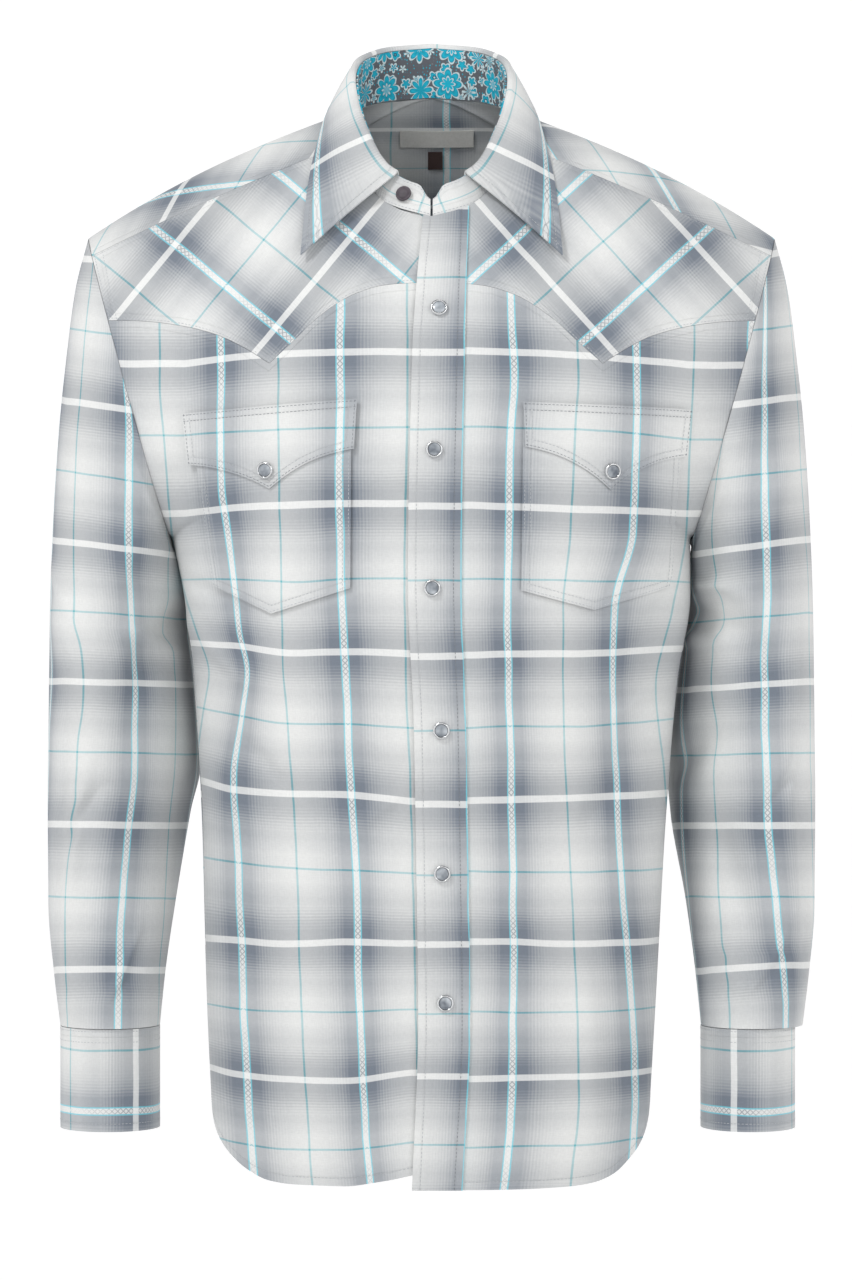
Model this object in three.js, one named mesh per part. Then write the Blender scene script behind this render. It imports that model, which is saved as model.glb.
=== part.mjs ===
import * as THREE from 'three';

// Western snap shirt, worn shape. Millimetres, +Z up, front faces -Y, +X is the wearer's left.
// The origin is the middle of the neck at its base.

// Cloth thicknesses
const WALL = 1.2;
const BAND_WALL = 1.6;
const CUFF_WALL = 2.0;
const SEAM_GAP = 0.3;

// Armhole: a flat egg between the shoulder tip and the armpit
const SHOULDER_TIP = { x: 240, z: -62 };
const ARMPIT = { x: 181, z: -275 };
const ARMHOLE_FRONT_DEPTH = 58;
const ARMHOLE_BACK_DEPTH = 64;
const ARMHOLE_EGG = 0.22;

// Neck seam
const NECK_HALF_WIDTH = 60;
const NECK_HALF_DEPTH = 58;
const NECK_CENTRE_Y = -12;

// Placket, stand and collar
const PLACKET_BELOW_NECK = 1;
const STAND_BACK_HEIGHT = 33;
const STAND_FRONT_HEIGHT = 19;
const STAND_LEAN = 6;
const STAND_RAISE = 1.0;
const SNAP_RADIUS = 5.8;
const SNAP_HEIGHT = 2.4;
const SNAP_DISH_RADIUS = 3.7;
const SNAP_RIM_RADIUS = 4.5;
const SNAP_LIFT = 0.45;

// Cuffs
const CUFF_TOP = -612;
const CUFF_BOTTOM = -683;
const CUFF_HALF_DEPTH = 40;
const CUFF_LAP_ANGLE = 37;
const CUFF_LAP_START = 300;
const CUFF_LAP_END = 356;

const clamp = (value, low, high) => Math.min(high, Math.max(low, value));
const lerp = (a, b, t) => a + (b - a) * t;
const rad = (degrees) => degrees * Math.PI / 180;
const smooth = (low, high, value) => {
  const t = clamp((value - low) / (high - low), 0, 1);
  return t * t * (3 - 2 * t);
};
const vec = (x, y, z) => new THREE.Vector3(x, y, z);

function table(names, rows) {
  return rows.map((row) => Object.fromEntries(names.map((name, i) => [name, row[i]])));
}

// Smooth curve through knots, without overshoot
function curve(xs, ys) {
  const count = xs.length;
  const slopes = [];
  for (let i = 0; i < count - 1; i += 1) {
    slopes.push((ys[i + 1] - ys[i]) / (xs[i + 1] - xs[i]));
  }
  const tangents = [slopes[0]];
  for (let i = 1; i < count - 1; i += 1) {
    const before = slopes[i - 1];
    const after = slopes[i];
    if (before * after <= 0) {
      tangents.push(0);
    } else {
      const h0 = xs[i] - xs[i - 1];
      const h1 = xs[i + 1] - xs[i];
      const w0 = 2 * h1 + h0;
      const w1 = h1 + 2 * h0;
      tangents.push((w0 + w1) / (w0 / before + w1 / after));
    }
  }
  tangents.push(slopes[count - 2]);
  return (x) => {
    const value = clamp(x, xs[0], xs[count - 1]);
    let i = 0;
    while (i < count - 2 && value > xs[i + 1]) i += 1;
    const h = xs[i + 1] - xs[i];
    const t = (value - xs[i]) / h;
    const t2 = t * t;
    const t3 = t2 * t;
    return (2 * t3 - 3 * t2 + 1) * ys[i] + (t3 - 2 * t2 + t) * h * tangents[i]
      + (3 * t2 - 2 * t3) * ys[i + 1] + (t3 - t2) * h * tangents[i + 1];
  };
}

function columnCurve(rows, key, name) {
  return curve(rows.map((row) => row[key]), rows.map((row) => row[name]));
}

// Neck seam height by angle, from the front (0) to the back (180)
const NECK_ROWS = table(['angle', 'z'], [
  [0, -53], [30, -43], [60, -13], [90, 16], [120, 31], [150, 39], [180, 42],
]);
const neckHeight = columnCurve(NECK_ROWS, 'angle', 'z');

function neckPoint(angle) {
  const a = rad(angle);
  const folded = angle > 180 ? 360 - angle : Math.abs(angle);
  return vec(NECK_HALF_WIDTH * Math.sin(a), NECK_CENTRE_Y - NECK_HALF_DEPTH * Math.cos(a),
    neckHeight(folded));
}

function armholePoint(angle, back) {
  const a = rad(angle);
  const drop = (1 - Math.cos(a)) / 2;
  const depth = back ? ARMHOLE_BACK_DEPTH : -ARMHOLE_FRONT_DEPTH;
  return vec(lerp(SHOULDER_TIP.x, ARMPIT.x, drop), depth * Math.sin(a) * (1 - ARMHOLE_EGG * Math.cos(a)),
    lerp(SHOULDER_TIP.z, ARMPIT.z, drop));
}

// Outward direction in the plane of the armhole
function armholeOut(angle, back) {
  const step = 0.5;
  const tangent = armholePoint(angle + step, back).sub(armholePoint(angle - step, back)).normalize();
  const across = vec(SHOULDER_TIP.x - ARMPIT.x, 0, SHOULDER_TIP.z - ARMPIT.z).normalize();
  const planeNormal = vec(0, 1, 0).cross(across).normalize();
  const out = tangent.cross(planeNormal).normalize();
  const middle = armholePoint(90, back).setY(0);
  const toward = armholePoint(angle, back).sub(middle);
  return out.dot(toward) < 0 ? out.negate() : out;
}

// Body sections. Each runs from the neck seam or the centre line to the armhole or the side seam.
const SHOULDER_COLUMNS = ['neck', 'armhole', 'lead', 'swell', 'turn', 'reach', 'rise', 'droop'];
const RIDGE_ROW = table(SHOULDER_COLUMNS, [[105, 0, 0.33, 2, 0, 60, 12, 0]]);
const FRONT_SHOULDER_ROWS = table(SHOULDER_COLUMNS, [
  [74, 30, 0.33, -8, 8, 60, 3, 0],
  [46, 50, 0.33, -17, 26, 60, 2, 0],
  [20, 65, 0.33, -10, 34, 62, 0, 0],
  [0, 76, 0.33, 0, 38, 66, 0, 4],
]);
const BACK_SHOULDER_ROWS = table(SHOULDER_COLUMNS, [
  [124, 24, 0.33, 7, 6, 60, 12, 0],
  [144, 40, 0.33, 10, 14, 60, 12, 0],
  [164, 52, 0.33, 6, 22, 60, 9, 0],
  [180, 63, 0.33, 0, 32, 62, 2, 14],
]);
const BODY_COLUMNS = ['frontY', 'backY', 'frontZ', 'backZ', 'armhole', 'right', 'left', 'sideZ',
  'lead', 'turn', 'reach'];
const BODY_ROWS = table(BODY_COLUMNS, [
  [-92, 80, -95, -12, 92, 0, 0, 0, 0.42, 42, 66],
  [-109, 98, -142, -70, 112, 0, 0, 0, 0.5, 50, 64],
  [-118, 107, -185, -135, 134, 0, 0, 0, 0.55, 62, 66],
  [-122, 110, -215, -190, 158, 0, 0, 0, 0.6, 76, 74],
  [-124, 111, -242, -242, 180, 181, 183, -275, 0.62, 88, 90],
  [-125, 110, -300, -300, null, 173, 181, -312, 0.62, 90, 88],
  [-123, 103, -372, -372, null, 166, 172, -376, 0.62, 90, 84],
  [-117, 99, -460, -460, null, 161, 164, -461, 0.62, 90, 79],
  [-113, 104, -600, -600, null, 157, 156.5, -600, 0.62, 90, 76],
  [-110, 108, -745, -745, null, 149, 148, -745, 0.62, 90, 74],
]);

function sectionPoints(start, end, row, back) {
  const sign = back ? 1 : -1;
  const width = end.x - start.x;
  const level = (x) => lerp(start.z, end.z, (x - start.x) / width);
  const rise = row.rise || 0;
  const leadX = start.x + row.lead * width;
  const tailX = end.x - row.reach * Math.cos(rad(row.turn));
  return [
    start,
    vec(leadX, start.y + (row.swell || 0), (start.x < 1 ? start.z - (row.droop || 0) : level(leadX)) + rise),
    vec(tailX, end.y + sign * row.reach * Math.sin(rad(row.turn)), level(tailX) + rise),
    end,
  ];
}

function buildBody(side) {
  const rows = [];
  const shoulder = (row, back, q) => {
    rows.push({ q, points: sectionPoints(neckPoint(row.neck), armholePoint(row.armhole, back), row, back) });
  };
  shoulder(RIDGE_ROW[0], false, 0);
  FRONT_SHOULDER_ROWS.forEach((row, i) => shoulder(row, false, -(i + 1)));
  BACK_SHOULDER_ROWS.forEach((row, i) => shoulder(row, true, i + 1));
  BODY_ROWS.forEach((row, i) => {
    const sideX = side > 0 ? row.left : row.right;
    [false, true].forEach((back) => {
      const start = vec(0, back ? row.backY : row.frontY, back ? row.backZ : row.frontZ);
      const end = row.armhole === null || row.armhole === 180
        ? vec(row.armhole === 180 ? ARMPIT.x : sideX, 0, row.sideZ)
        : armholePoint(row.armhole, back);
      const q = (i + 5) * (back ? 1 : -1);
      rows.push({ q, points: sectionPoints(start, end, row, back) });
    });
  });
  rows.sort((a, b) => a.q - b.q);
  const knots = rows.map((row) => row.q);
  const parts = [0, 1, 2, 3].map((k) => ['x', 'y', 'z'].map(
    (axis) => curve(knots, rows.map((row) => row.points[k][axis]))));
  return (s, q) => {
    const weights = [(1 - s) ** 3, 3 * s * (1 - s) ** 2, 3 * s * s * (1 - s), s ** 3];
    const out = [0, 0, 0];
    for (let k = 0; k < 4; k += 1) {
      for (let axis = 0; axis < 3; axis += 1) out[axis] += weights[k] * parts[k][axis](q);
    }
    return vec(side * out[0], out[1], out[2]);
  };
}

const bodyLeft = buildBody(1);
const bodyRight = buildBody(-1);
const ARMPIT_Q = 9;

// Large soft folds of the body: a ridge (plus) or trough (minus) along a line, seen from the front or back
const BODY_FOLDS = table(['back', 'x0', 'z0', 'x1', 'z1', 'width', 'depth'], [
  [0, -158, -352, -112, -470, 17, -3.0],
  [0, 164, -348, 116, -460, 17, -3.2],
  [0, -150, -420, -132, -640, 15, -2.4],
  [0, 148, -420, 128, -600, 15, 2.4],
  [0, -78, -480, -88, -690, 17, 2.2],
  [0, 66, -520, 84, -700, 18, -2.2],
  [1, -60, -140, -74, -640, 18, -4.2],
  [1, 52, -170, 66, -660, 20, -3.8],
  [1, -128, -260, -112, -600, 17, 3.2],
  [1, 118, -240, 124, -620, 18, 3.4],
  [1, 4, -230, -6, -560, 22, 2.6],
]);

function foldOffset(folds, back, x, z) {
  let sum = 0;
  folds.forEach((fold) => {
    if (fold.back !== back) return;
    const dx = fold.x1 - fold.x0;
    const dz = fold.z1 - fold.z0;
    const length = Math.hypot(dx, dz);
    const along = ((x - fold.x0) * dx + (z - fold.z0) * dz) / length;
    const across = ((x - fold.x0) * dz - (z - fold.z0) * dx) / length;
    const t = along / length;
    if (t < -0.2 || t > 1.2) return;
    const taper = smooth(-0.2, 0.3, t) * (1 - smooth(0.7, 1.2, t));
    sum += fold.depth * taper * Math.exp(-((across / fold.width) ** 2));
  });
  return sum;
}

// Signed s: plus on the wearer's left, minus on the right. q runs from front hem to back hem.
function rawBody(s, q) {
  return s >= 0 ? bodyLeft(s, q) : bodyRight(-s, q);
}

function bodyNormalRaw(s, q) {
  const h = 0.004;
  const side = s >= 0 ? 1 : -1;
  const s0 = Math.min(Math.abs(s), 1 - h);
  const du = rawBody(side * (s0 + h), q).sub(rawBody(side * s0, q));
  const q0 = clamp(q, -13.99, 13.99);
  const dq = rawBody(side * s0, q0 + h).sub(rawBody(side * s0, q0 - h));
  return du.cross(dq).multiplyScalar(side).normalize();
}

function bodyPoint(s, q) {
  const point = rawBody(s, q);
  const edge = 1 - smooth(0.82, 1, Math.abs(s)) * (Math.abs(q) < ARMPIT_Q + 1 ? 1 : 0);
  const offset = foldOffset(BODY_FOLDS, q > 0 ? 1 : 0, point.x, point.z) * edge;
  return offset === 0 ? point : point.addScaledVector(bodyNormalRaw(s, q), offset);
}

// Offset direction of the body, turned into the armhole plane beside the armhole
function bodyNormal(s, q) {
  const n = bodyNormalRaw(s, q);
  const reach = Math.abs(q);
  if (reach >= ARMPIT_Q + 0.001 || Math.abs(s) < 0.9) return n;
  const side = s >= 0 ? 1 : -1;
  const end = rawBody(side, q);
  const drop = clamp((end.z - SHOULDER_TIP.z) / (ARMPIT.z - SHOULDER_TIP.z), 0, 1);
  const angle = Math.acos(clamp(1 - 2 * drop, -1, 1)) * 180 / Math.PI;
  const out = armholeOut(angle, q > 0);
  out.x *= side;
  const own = 0.45 * smooth(0.8, 1, drop);
  out.addScaledVector(n, own).normalize();
  return n.lerp(out, smooth(0.9, 1, Math.abs(s))).normalize();
}

// Body parameters under a point seen from the front
function locate(x, z) {
  let s = clamp(x / 230, -0.95, 0.95);
  let q = -6.5 + (z + 150) / 60;
  q = clamp(q, -13.5, -1.5);
  for (let step = 0; step < 30; step += 1) {
    const h = 1e-4;
    const p = rawBody(s, q);
    const ex = x - p.x;
    const ez = z - p.z;
    if (Math.hypot(ex, ez) < 1e-5) break;
    const ps = rawBody(s + h, q).sub(p).multiplyScalar(1 / h);
    const pq = rawBody(s, q + h).sub(p).multiplyScalar(1 / h);
    const det = ps.x * pq.z - pq.x * ps.z;
    s = clamp(s + clamp((ex * pq.z - pq.x * ez) / det, -0.2, 0.2), -0.999, 0.999);
    q = clamp(q + clamp((ps.x * ez - ex * ps.z) / det, -1, 1), -14, 0.5);
  }
  return { s, q };
}

// Row parameter at which column s passes a height that may depend on x
function crossing(s, heightAt, from, to) {
  let a = from;
  let b = to;
  for (let step = 0; step < 44; step += 1) {
    const middle = (a + b) / 2;
    const p = rawBody(s, middle);
    if (p.z > heightAt(p.x, s)) a = middle;
    else b = middle;
  }
  return (a + b) / 2;
}

// A cloth wall over welded patches of points with offset directions
function shell(name, patches, low, high, material) {
  const keys = new Map();
  const mids = [];
  const faces = [];
  const indexOf = (entry) => {
    const p = entry.p;
    const key = [p.x, p.y, p.z].map((value) => Math.round(value * 500)).join(',');
    if (!keys.has(key)) {
      keys.set(key, mids.length);
      mids.push(entry);
    }
    return keys.get(key);
  };
  patches.forEach((grid) => {
    const ids = grid.map((row) => row.map(indexOf));
    const patch = [];
    for (let j = 0; j < ids.length - 1; j += 1) {
      for (let i = 0; i < ids[j].length - 1; i += 1) {
        const a = ids[j][i];
        const b = ids[j][i + 1];
        const c = ids[j + 1][i + 1];
        const d = ids[j + 1][i];
        const ac = mids[a].p.distanceTo(mids[c].p);
        const bd = mids[b].p.distanceTo(mids[d].p);
        const pair = ac <= bd ? [[a, b, c], [a, c, d]] : [[a, b, d], [b, c, d]];
        pair.forEach((face) => {
          if (face[0] !== face[1] && face[1] !== face[2] && face[0] !== face[2]) patch.push(face);
        });
      }
    }
    const inward = patch.reduce((sum, face) => {
      const [p0, p1, p2] = face.map((id) => mids[id].p);
      return sum + p1.clone().sub(p0).cross(p2.clone().sub(p0)).dot(mids[face[0]].n);
    }, 0) < 0;
    patch.forEach(([a, b, c]) => faces.push(inward ? [a, c, b] : [a, b, c]));
  });
  const count = mids.length;
  const positions = [];
  [high, low].forEach((lift) => {
    mids.forEach((entry) => {
      const amount = typeof lift === 'function' ? lift(entry) : lift;
      const p = entry.p.clone().addScaledVector(entry.n, amount);
      positions.push(p.x, p.y, p.z);
    });
  });
  const edges = new Map();
  const index = [];
  faces.forEach(([a, b, c]) => {
    index.push(a, b, c, count + a, count + c, count + b);
    [[a, b], [b, c], [c, a]].forEach(([u, v]) => {
      const other = `${v},${u}`;
      if (edges.has(other)) edges.delete(other);
      else edges.set(`${u},${v}`, [u, v]);
    });
  });
  edges.forEach(([u, v]) => {
    index.push(u, count + u, v, v, count + u, count + v);
  });
  return solid(name, positions, index, material);
}

function solid(name, positions, index, material) {
  const geometry = new THREE.BufferGeometry();
  geometry.setAttribute('position', new THREE.Float32BufferAttribute(positions, 3));
  geometry.setIndex(index);
  geometry.computeVertexNormals();
  const mesh = new THREE.Mesh(geometry, new THREE.MeshStandardMaterial(material));
  mesh.name = name;
  return mesh;
}

const steps = (count, from = 0, to = 1) => Array.from({ length: count + 1 },
  (_, i) => lerp(from, to, i / count));

const CLOTH = { color: 0xb8bec4, roughness: 0.85 };
const PRINT = { color: 0x2f8fa6, roughness: 0.85 };
const METAL = { color: 0x9aa3ad, roughness: 0.3, metalness: 0.7 };
const TAB = { color: 0x4a2f2a, roughness: 0.8 };
const WHITE = { color: 0xe9e8e4, roughness: 0.8 };

const CENTRE_SHARE = 1e-9;

function bodyEntry(s, q) {
  const entry = { p: bodyPoint(s, q), n: bodyNormal(s, q), s, q };
  if (Math.abs(s) <= CENTRE_SHARE) {
    entry.p.x = 0;
    entry.n.setX(0).normalize();
  }
  return entry;
}

const trim = (s, q, length) => {
  const h = 0.01;
  return length / (bodyPoint(s, q + h).distanceTo(bodyPoint(s, q - h)) / (2 * h));
};
const sEdge = (q, side) => {
  const h = 0.01;
  const speed = rawBody(side, q).distanceTo(rawBody(side * (1 - h), q)) / h;
  return 1 - SEAM_GAP / 2 / speed;
};

// Front yokes, pointed
const YOKE_TIP = { right: 110, left: 116 };
const YOKE_TIP_Z = -155.5;
const YOKE_INNER = table(['part', 'z'], [
  [0, -99], [0.3, -102], [0.5, -109], [0.7, -124], [0.85, -140], [1, YOKE_TIP_Z],
]);
const YOKE_OUTER = table(['beyond', 'z'], [
  [0, YOKE_TIP_Z], [18, -144], [38, -134.5], [62, -128], [90, -124], [125, -122],
]);
const yokeInner = columnCurve(YOKE_INNER, 'part', 'z');
const yokeOuter = columnCurve(YOKE_OUTER, 'beyond', 'z');

function frontYokeHeight(x) {
  const tip = x > 0 ? YOKE_TIP.left : YOKE_TIP.right;
  const away = Math.abs(x);
  return away < tip ? yokeInner(away / tip) : yokeOuter(away - tip);
}

const LEFT_INNER = -0.02;
const RIGHT_INNER = -0.055;
const UNDERLAP = WALL + SEAM_GAP + 0.1;
const UNDERLAP_FROM = -0.1;
const UNDERLAP_FULL = 0.01;
const NECK_Q = -4;
const NECK_TRIM = 0.004;

// The wearer's right front passes under the placket
function frontLift(side) {
  return (entry) => (side > 0 ? 0 : -UNDERLAP * smooth(UNDERLAP_FROM, UNDERLAP_FULL, entry.s));
}

function frontColumns(side, tipS, inner, outer) {
  const first = side > 0 ? LEFT_INNER : RIGHT_INNER;
  const list = [...steps(inner, first, tipS), ...steps(outer, tipS, 1).slice(1)];
  return list.map((value) => value * side);
}

function sameColumn(s, q, side) {
  const value = s * side;
  let out = value;
  if (value < 0) out = lerp(NECK_TRIM, value, smooth(NECK_Q, NECK_Q - 0.35, q));
  if (value > 0.9999) out = sEdge(q, side);
  if (Math.abs(out) < CENTRE_SHARE) out = CENTRE_SHARE;
  return out * side;
}

function buildFrontYoke(side) {
  const tip = locate(side * (side > 0 ? YOKE_TIP.left : YOKE_TIP.right), YOKE_TIP_Z);
  const columns = frontColumns(side, Math.abs(tip.s), 8, 7);
  const rowCount = 10;
  const grid = steps(rowCount).map((t) => columns.map((s) => {
    const end = crossing(s, frontYokeHeight, -1.2, -9);
    const start = -1;
    const q = lerp(start - trim(s, start, SEAM_GAP / 2), end + trim(s, end, SEAM_GAP / 2), t);
    return bodyEntry(sameColumn(s, q, side), q);
  }));
  const lift = frontLift(side);
  return shell(side > 0 ? 'left_front_yoke' : 'right_front_yoke', [grid],
    (entry) => lift(entry) - WALL, lift, CLOTH);
}

// Shirt-tail hem heights by the share of the way to the side seam
const HEM_ROWS = table(['share', 'right', 'left', 'back'], [
  [-0.06, -702, -715, -724], [0, -703, -715, -724], [0.12, -709, -715, -724], [0.24, -713, -715, -722],
  [0.4, -713, -714.5, -718], [0.5, -711.5, -713, -712], [0.6, -706, -708.5, -703],
  [0.7, -698, -699.5, -693], [0.8, -689, -690, -684], [0.9, -678, -678, -674], [1, -664, -664, -664],
]);
const hemRight = columnCurve(HEM_ROWS, 'share', 'right');
const hemLeft = columnCurve(HEM_ROWS, 'share', 'left');
const hemBack = columnCurve(HEM_ROWS, 'share', 'back');

// Even steps down a column, measured on the body
function evenShares(s, from, to, count) {
  const fine = 60;
  const lengths = [0];
  let last = rawBody(s, from);
  for (let k = 1; k <= fine; k += 1) {
    const p = rawBody(s, lerp(from, to, k / fine));
    lengths.push(lengths[k - 1] + p.distanceTo(last));
    last = p;
  }
  return steps(count).map((t) => {
    const goal = t * lengths[fine];
    let k = 0;
    while (k < fine - 1 && lengths[k + 1] < goal) k += 1;
    return (k + (goal - lengths[k]) / (lengths[k + 1] - lengths[k])) / fine;
  });
}

function buildFront(side) {
  const tip = locate(side * (side > 0 ? YOKE_TIP.left : YOKE_TIP.right), YOKE_TIP_Z);
  const columns = frontColumns(side, Math.abs(tip.s), 8, 10);
  const hem = side > 0 ? hemLeft : hemRight;
  const shares = evenShares(side * 0.5, -5.5, -13.8, 22);
  const grid = shares.map((share) => columns.map((s) => {
    const top = crossing(s, frontYokeHeight, -1.2, -9);
    const bottom = crossing(s, () => hem(s * side), -11, -14);
    const q = lerp(top - trim(s, top, SEAM_GAP / 2), bottom, share);
    return bodyEntry(sameColumn(s, q, side), q);
  }));
  const lift = frontLift(side);
  return shell(side > 0 ? 'left_front' : 'right_front', [grid], (entry) => lift(entry) - WALL, lift, CLOTH);
}

const BACK_COLUMNS = 14;

// Back yoke: over both shoulders, down to a shallow point
const BACK_YOKE_DROP = table(['away', 'z'], [
  [0, -96], [50, -80], [100, -80], [160, -98], [235, -138],
]);
const backYoke = columnCurve(BACK_YOKE_DROP, 'away', 'z');
const backYokeHeight = (x) => backYoke(Math.abs(x));

function buildBackYoke() {
  const patches = [1, -1].map((side) => {
    const columns = steps(BACK_COLUMNS).map((s) => s * side);
    const upper = steps(5, -1, 4).slice(0, 6);
    const lower = steps(5).slice(1);
    const grid = [];
    upper.forEach((level) => grid.push(columns.map((s) => {
      const q = level === -1 ? level + trim(s, level, SEAM_GAP / 2) : level;
      return bodyEntry(edgeColumn(s, q, side), q);
    })));
    lower.forEach((t) => grid.push(columns.map((s) => {
      const end = crossing(s, backYokeHeight, 4, 9);
      const q = lerp(4, end - trim(s, end, SEAM_GAP / 2), t);
      return bodyEntry(edgeColumn(s, q, side), q);
    })));
    return grid;
  });
  return shell('back_yoke', patches, -WALL, 0, CLOTH);
}

function edgeColumn(s, q, side) {
  const least = q < -NECK_Q ? NECK_TRIM : CENTRE_SHARE;
  return Math.abs(s) > 0.9999 ? sEdge(q, side) * side : Math.max(Math.abs(s), least) * side;
}

function buildBack() {
  const shares = evenShares(0.5, 6, 13.8, 20);
  const patches = [1, -1].map((side) => {
    const columns = steps(BACK_COLUMNS).map((s) => s * side);
    return shares.map((share) => columns.map((s) => {
      const top = crossing(s, backYokeHeight, 4, 9);
      const bottom = crossing(s, () => hemBack(Math.abs(s)), 11, 14);
      const q = lerp(top + trim(s, top, SEAM_GAP / 2), bottom, share);
      return bodyEntry(edgeColumn(s, q, side), q);
    }));
  });
  return shell('back', patches, -WALL, 0, CLOTH);
}

// A piece lying on the front, from a grid of front-view positions
function laidGrid(columns, rows, place) {
  return rows.map((t) => columns.map((f) => {
    const { x, z } = place(f, t);
    const at = locate(x, z);
    return { p: bodyPoint(at.s, at.q), n: bodyNormal(at.s, at.q), f, t };
  }));
}

// Placket band on the wearer's left front
const PLACKET_ROWS = table(['down', 'centre', 'width'], [
  [52, 10, 31], [95, 7, 33.5], [147, 4.7, 35.5], [305, 2, 36], [398, 5.4, 35],
  [500, 7.2, 35], [600, 8.4, 35], [715, 3.7, 34],
]);
const placketCentre = columnCurve(PLACKET_ROWS, 'down', 'centre');
const placketWidth = columnCurve(PLACKET_ROWS, 'down', 'width');
const PLACKET_BOTTOM = -715;

// Height of the neck seam over a place on the front
function seamHeight(x) {
  return neckHeight(Math.abs(Math.asin(clamp(x / NECK_HALF_WIDTH, -1, 1))) * 180 / Math.PI);
}

function buildPlacket() {
  const across = (f, z) => placketCentre(-z) + f * placketWidth(-z);
  const grid = laidGrid(steps(4, -0.5, 0.5), steps(30), (f, t) => {
    const top = seamHeight(across(f, neckHeight(0))) - PLACKET_BELOW_NECK;
    const z = lerp(top, PLACKET_BOTTOM, t);
    return { x: across(f, z), z };
  });
  return shell('placket', [grid], SEAM_GAP, SEAM_GAP + BAND_WALL, CLOTH);
}

// Pockets and flaps, in front view, measured from the centre line
const POCKET_COLUMNS = ['side', 'innerTop', 'outerTop', 'innerLow', 'outerLow', 'topZ', 'innerZ', 'outerZ',
  'tipX', 'tipZ'];
const POCKETS = table(POCKET_COLUMNS, [
  [-1, 54, 163, 54.5, 148, -192, -308, -305.5, 107.5, -325],
  [1, 61.5, 170, 60, 163, -192, -309.5, -306.5, 109, -322.5],
]);
const FLAP_COLUMNS = ['side', 'innerTop', 'outerTop', 'innerTopZ', 'outerTopZ', 'innerLow', 'outerLow',
  'innerLowZ', 'outerLowZ', 'tipX', 'tipZ'];
const FLAPS = table(FLAP_COLUMNS, [
  [-1, 50, 168, -181, -189, 52, 164, -214.5, -223, 108.5, -240.5],
  [1, 61.5, 176, -183, -186, 62.5, 172, -213, -217, 120, -241],
]);
const POCKET_LIFT = 1.4;
const POCKET_WALL = 1.1;
const FLAP_LIFT = POCKET_LIFT + POCKET_WALL + 0.5;

const tipColumns = (share) => [...steps(4, 0, share), ...steps(4, share, 1).slice(1)];

function buildPocket(row) {
  const share = (row.tipX - row.innerLow) / (row.outerLow - row.innerLow);
  const grid = laidGrid(tipColumns(share), steps(8), (f, t) => {
    const x = lerp(lerp(row.innerTop, row.innerLow, t), lerp(row.outerTop, row.outerLow, t), f);
    const low = f < share ? lerp(row.innerZ, row.tipZ, f / share)
      : lerp(row.tipZ, row.outerZ, (f - share) / (1 - share));
    return { x: row.side * x, z: lerp(row.topZ, low, t) };
  });
  return shell(row.side > 0 ? 'left_pocket' : 'right_pocket', [grid], POCKET_LIFT,
    POCKET_LIFT + POCKET_WALL, CLOTH);
}

function buildFlap(row) {
  const share = (row.tipX - row.innerLow) / (row.outerLow - row.innerLow);
  const grid = laidGrid(tipColumns(share), steps(4), (f, t) => {
    const x = lerp(lerp(row.innerTop, row.innerLow, t), lerp(row.outerTop, row.outerLow, t), f);
    const near = f < share ? f / share : (1 - f) / (1 - share);
    const side = f < share ? row.innerLowZ : row.outerLowZ;
    const low = lerp(side, row.tipZ, 0.35 * near + 0.65 * near ** 2.4);
    return { x: row.side * x, z: lerp(lerp(row.innerTopZ, row.outerTopZ, f), low, t) };
  });
  return shell(row.side > 0 ? 'left_flap' : 'right_flap', [grid],
    FLAP_LIFT, FLAP_LIFT + WALL, CLOTH);
}

// A turned round part standing on a surface point
function turned(name, base, normal, profile, segments, material) {
  const up = normal.clone().normalize();
  const helper = Math.abs(up.z) < 0.9 ? vec(0, 0, 1) : vec(1, 0, 0);
  const ax = helper.clone().cross(up).normalize();
  const ay = up.clone().cross(ax).normalize();
  const positions = [];
  const index = [];
  const put = (radius, height, angle) => {
    const p = base.clone().addScaledVector(up, height)
      .addScaledVector(ax, radius * Math.cos(angle)).addScaledVector(ay, radius * Math.sin(angle));
    positions.push(p.x, p.y, p.z);
  };
  put(0, profile[0][1], 0);
  profile.slice(1, -1).forEach(([radius, height]) => {
    for (let i = 0; i < segments; i += 1) put(radius, height, 2 * Math.PI * i / segments);
  });
  put(0, profile[profile.length - 1][1], 0);
  const rings = profile.length - 2;
  const last = 1 + rings * segments;
  const at = (ring, i) => 1 + ring * segments + (i % segments);
  for (let i = 0; i < segments; i += 1) {
    index.push(0, at(0, i), at(0, i + 1));
    index.push(last, at(rings - 1, i + 1), at(rings - 1, i));
    for (let ring = 0; ring < rings - 1; ring += 1) {
      index.push(at(ring, i), at(ring + 1, i), at(ring + 1, i + 1));
      index.push(at(ring, i), at(ring + 1, i + 1), at(ring, i + 1));
    }
  }
  return solid(name, positions, index, material);
}

const SNAP_PROFILE = [[0, SNAP_HEIGHT * 0.8], [SNAP_DISH_RADIUS, SNAP_HEIGHT * 0.72],
  [SNAP_RIM_RADIUS, SNAP_HEIGHT], [SNAP_RADIUS, SNAP_HEIGHT * 0.45], [SNAP_RADIUS - 0.5, 0], [0, 0]];
const SNAP_SEGMENTS = 10;

function snapOnFront(name, x, z, lift) {
  const at = locate(x, z);
  const n = bodyNormal(at.s, at.q);
  return turned(name, bodyPoint(at.s, at.q).addScaledVector(n, lift + SNAP_LIFT), n, SNAP_PROFILE,
    SNAP_SEGMENTS, METAL);
}

// Snap places on the placket, top to bottom
const PLACKET_SNAPS = table(['x', 'z'], [
  [5, -119], [1.7, -215], [0.3, -308], [6.4, -403.7], [7, -500.6], [9.1, -588],
]);

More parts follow.
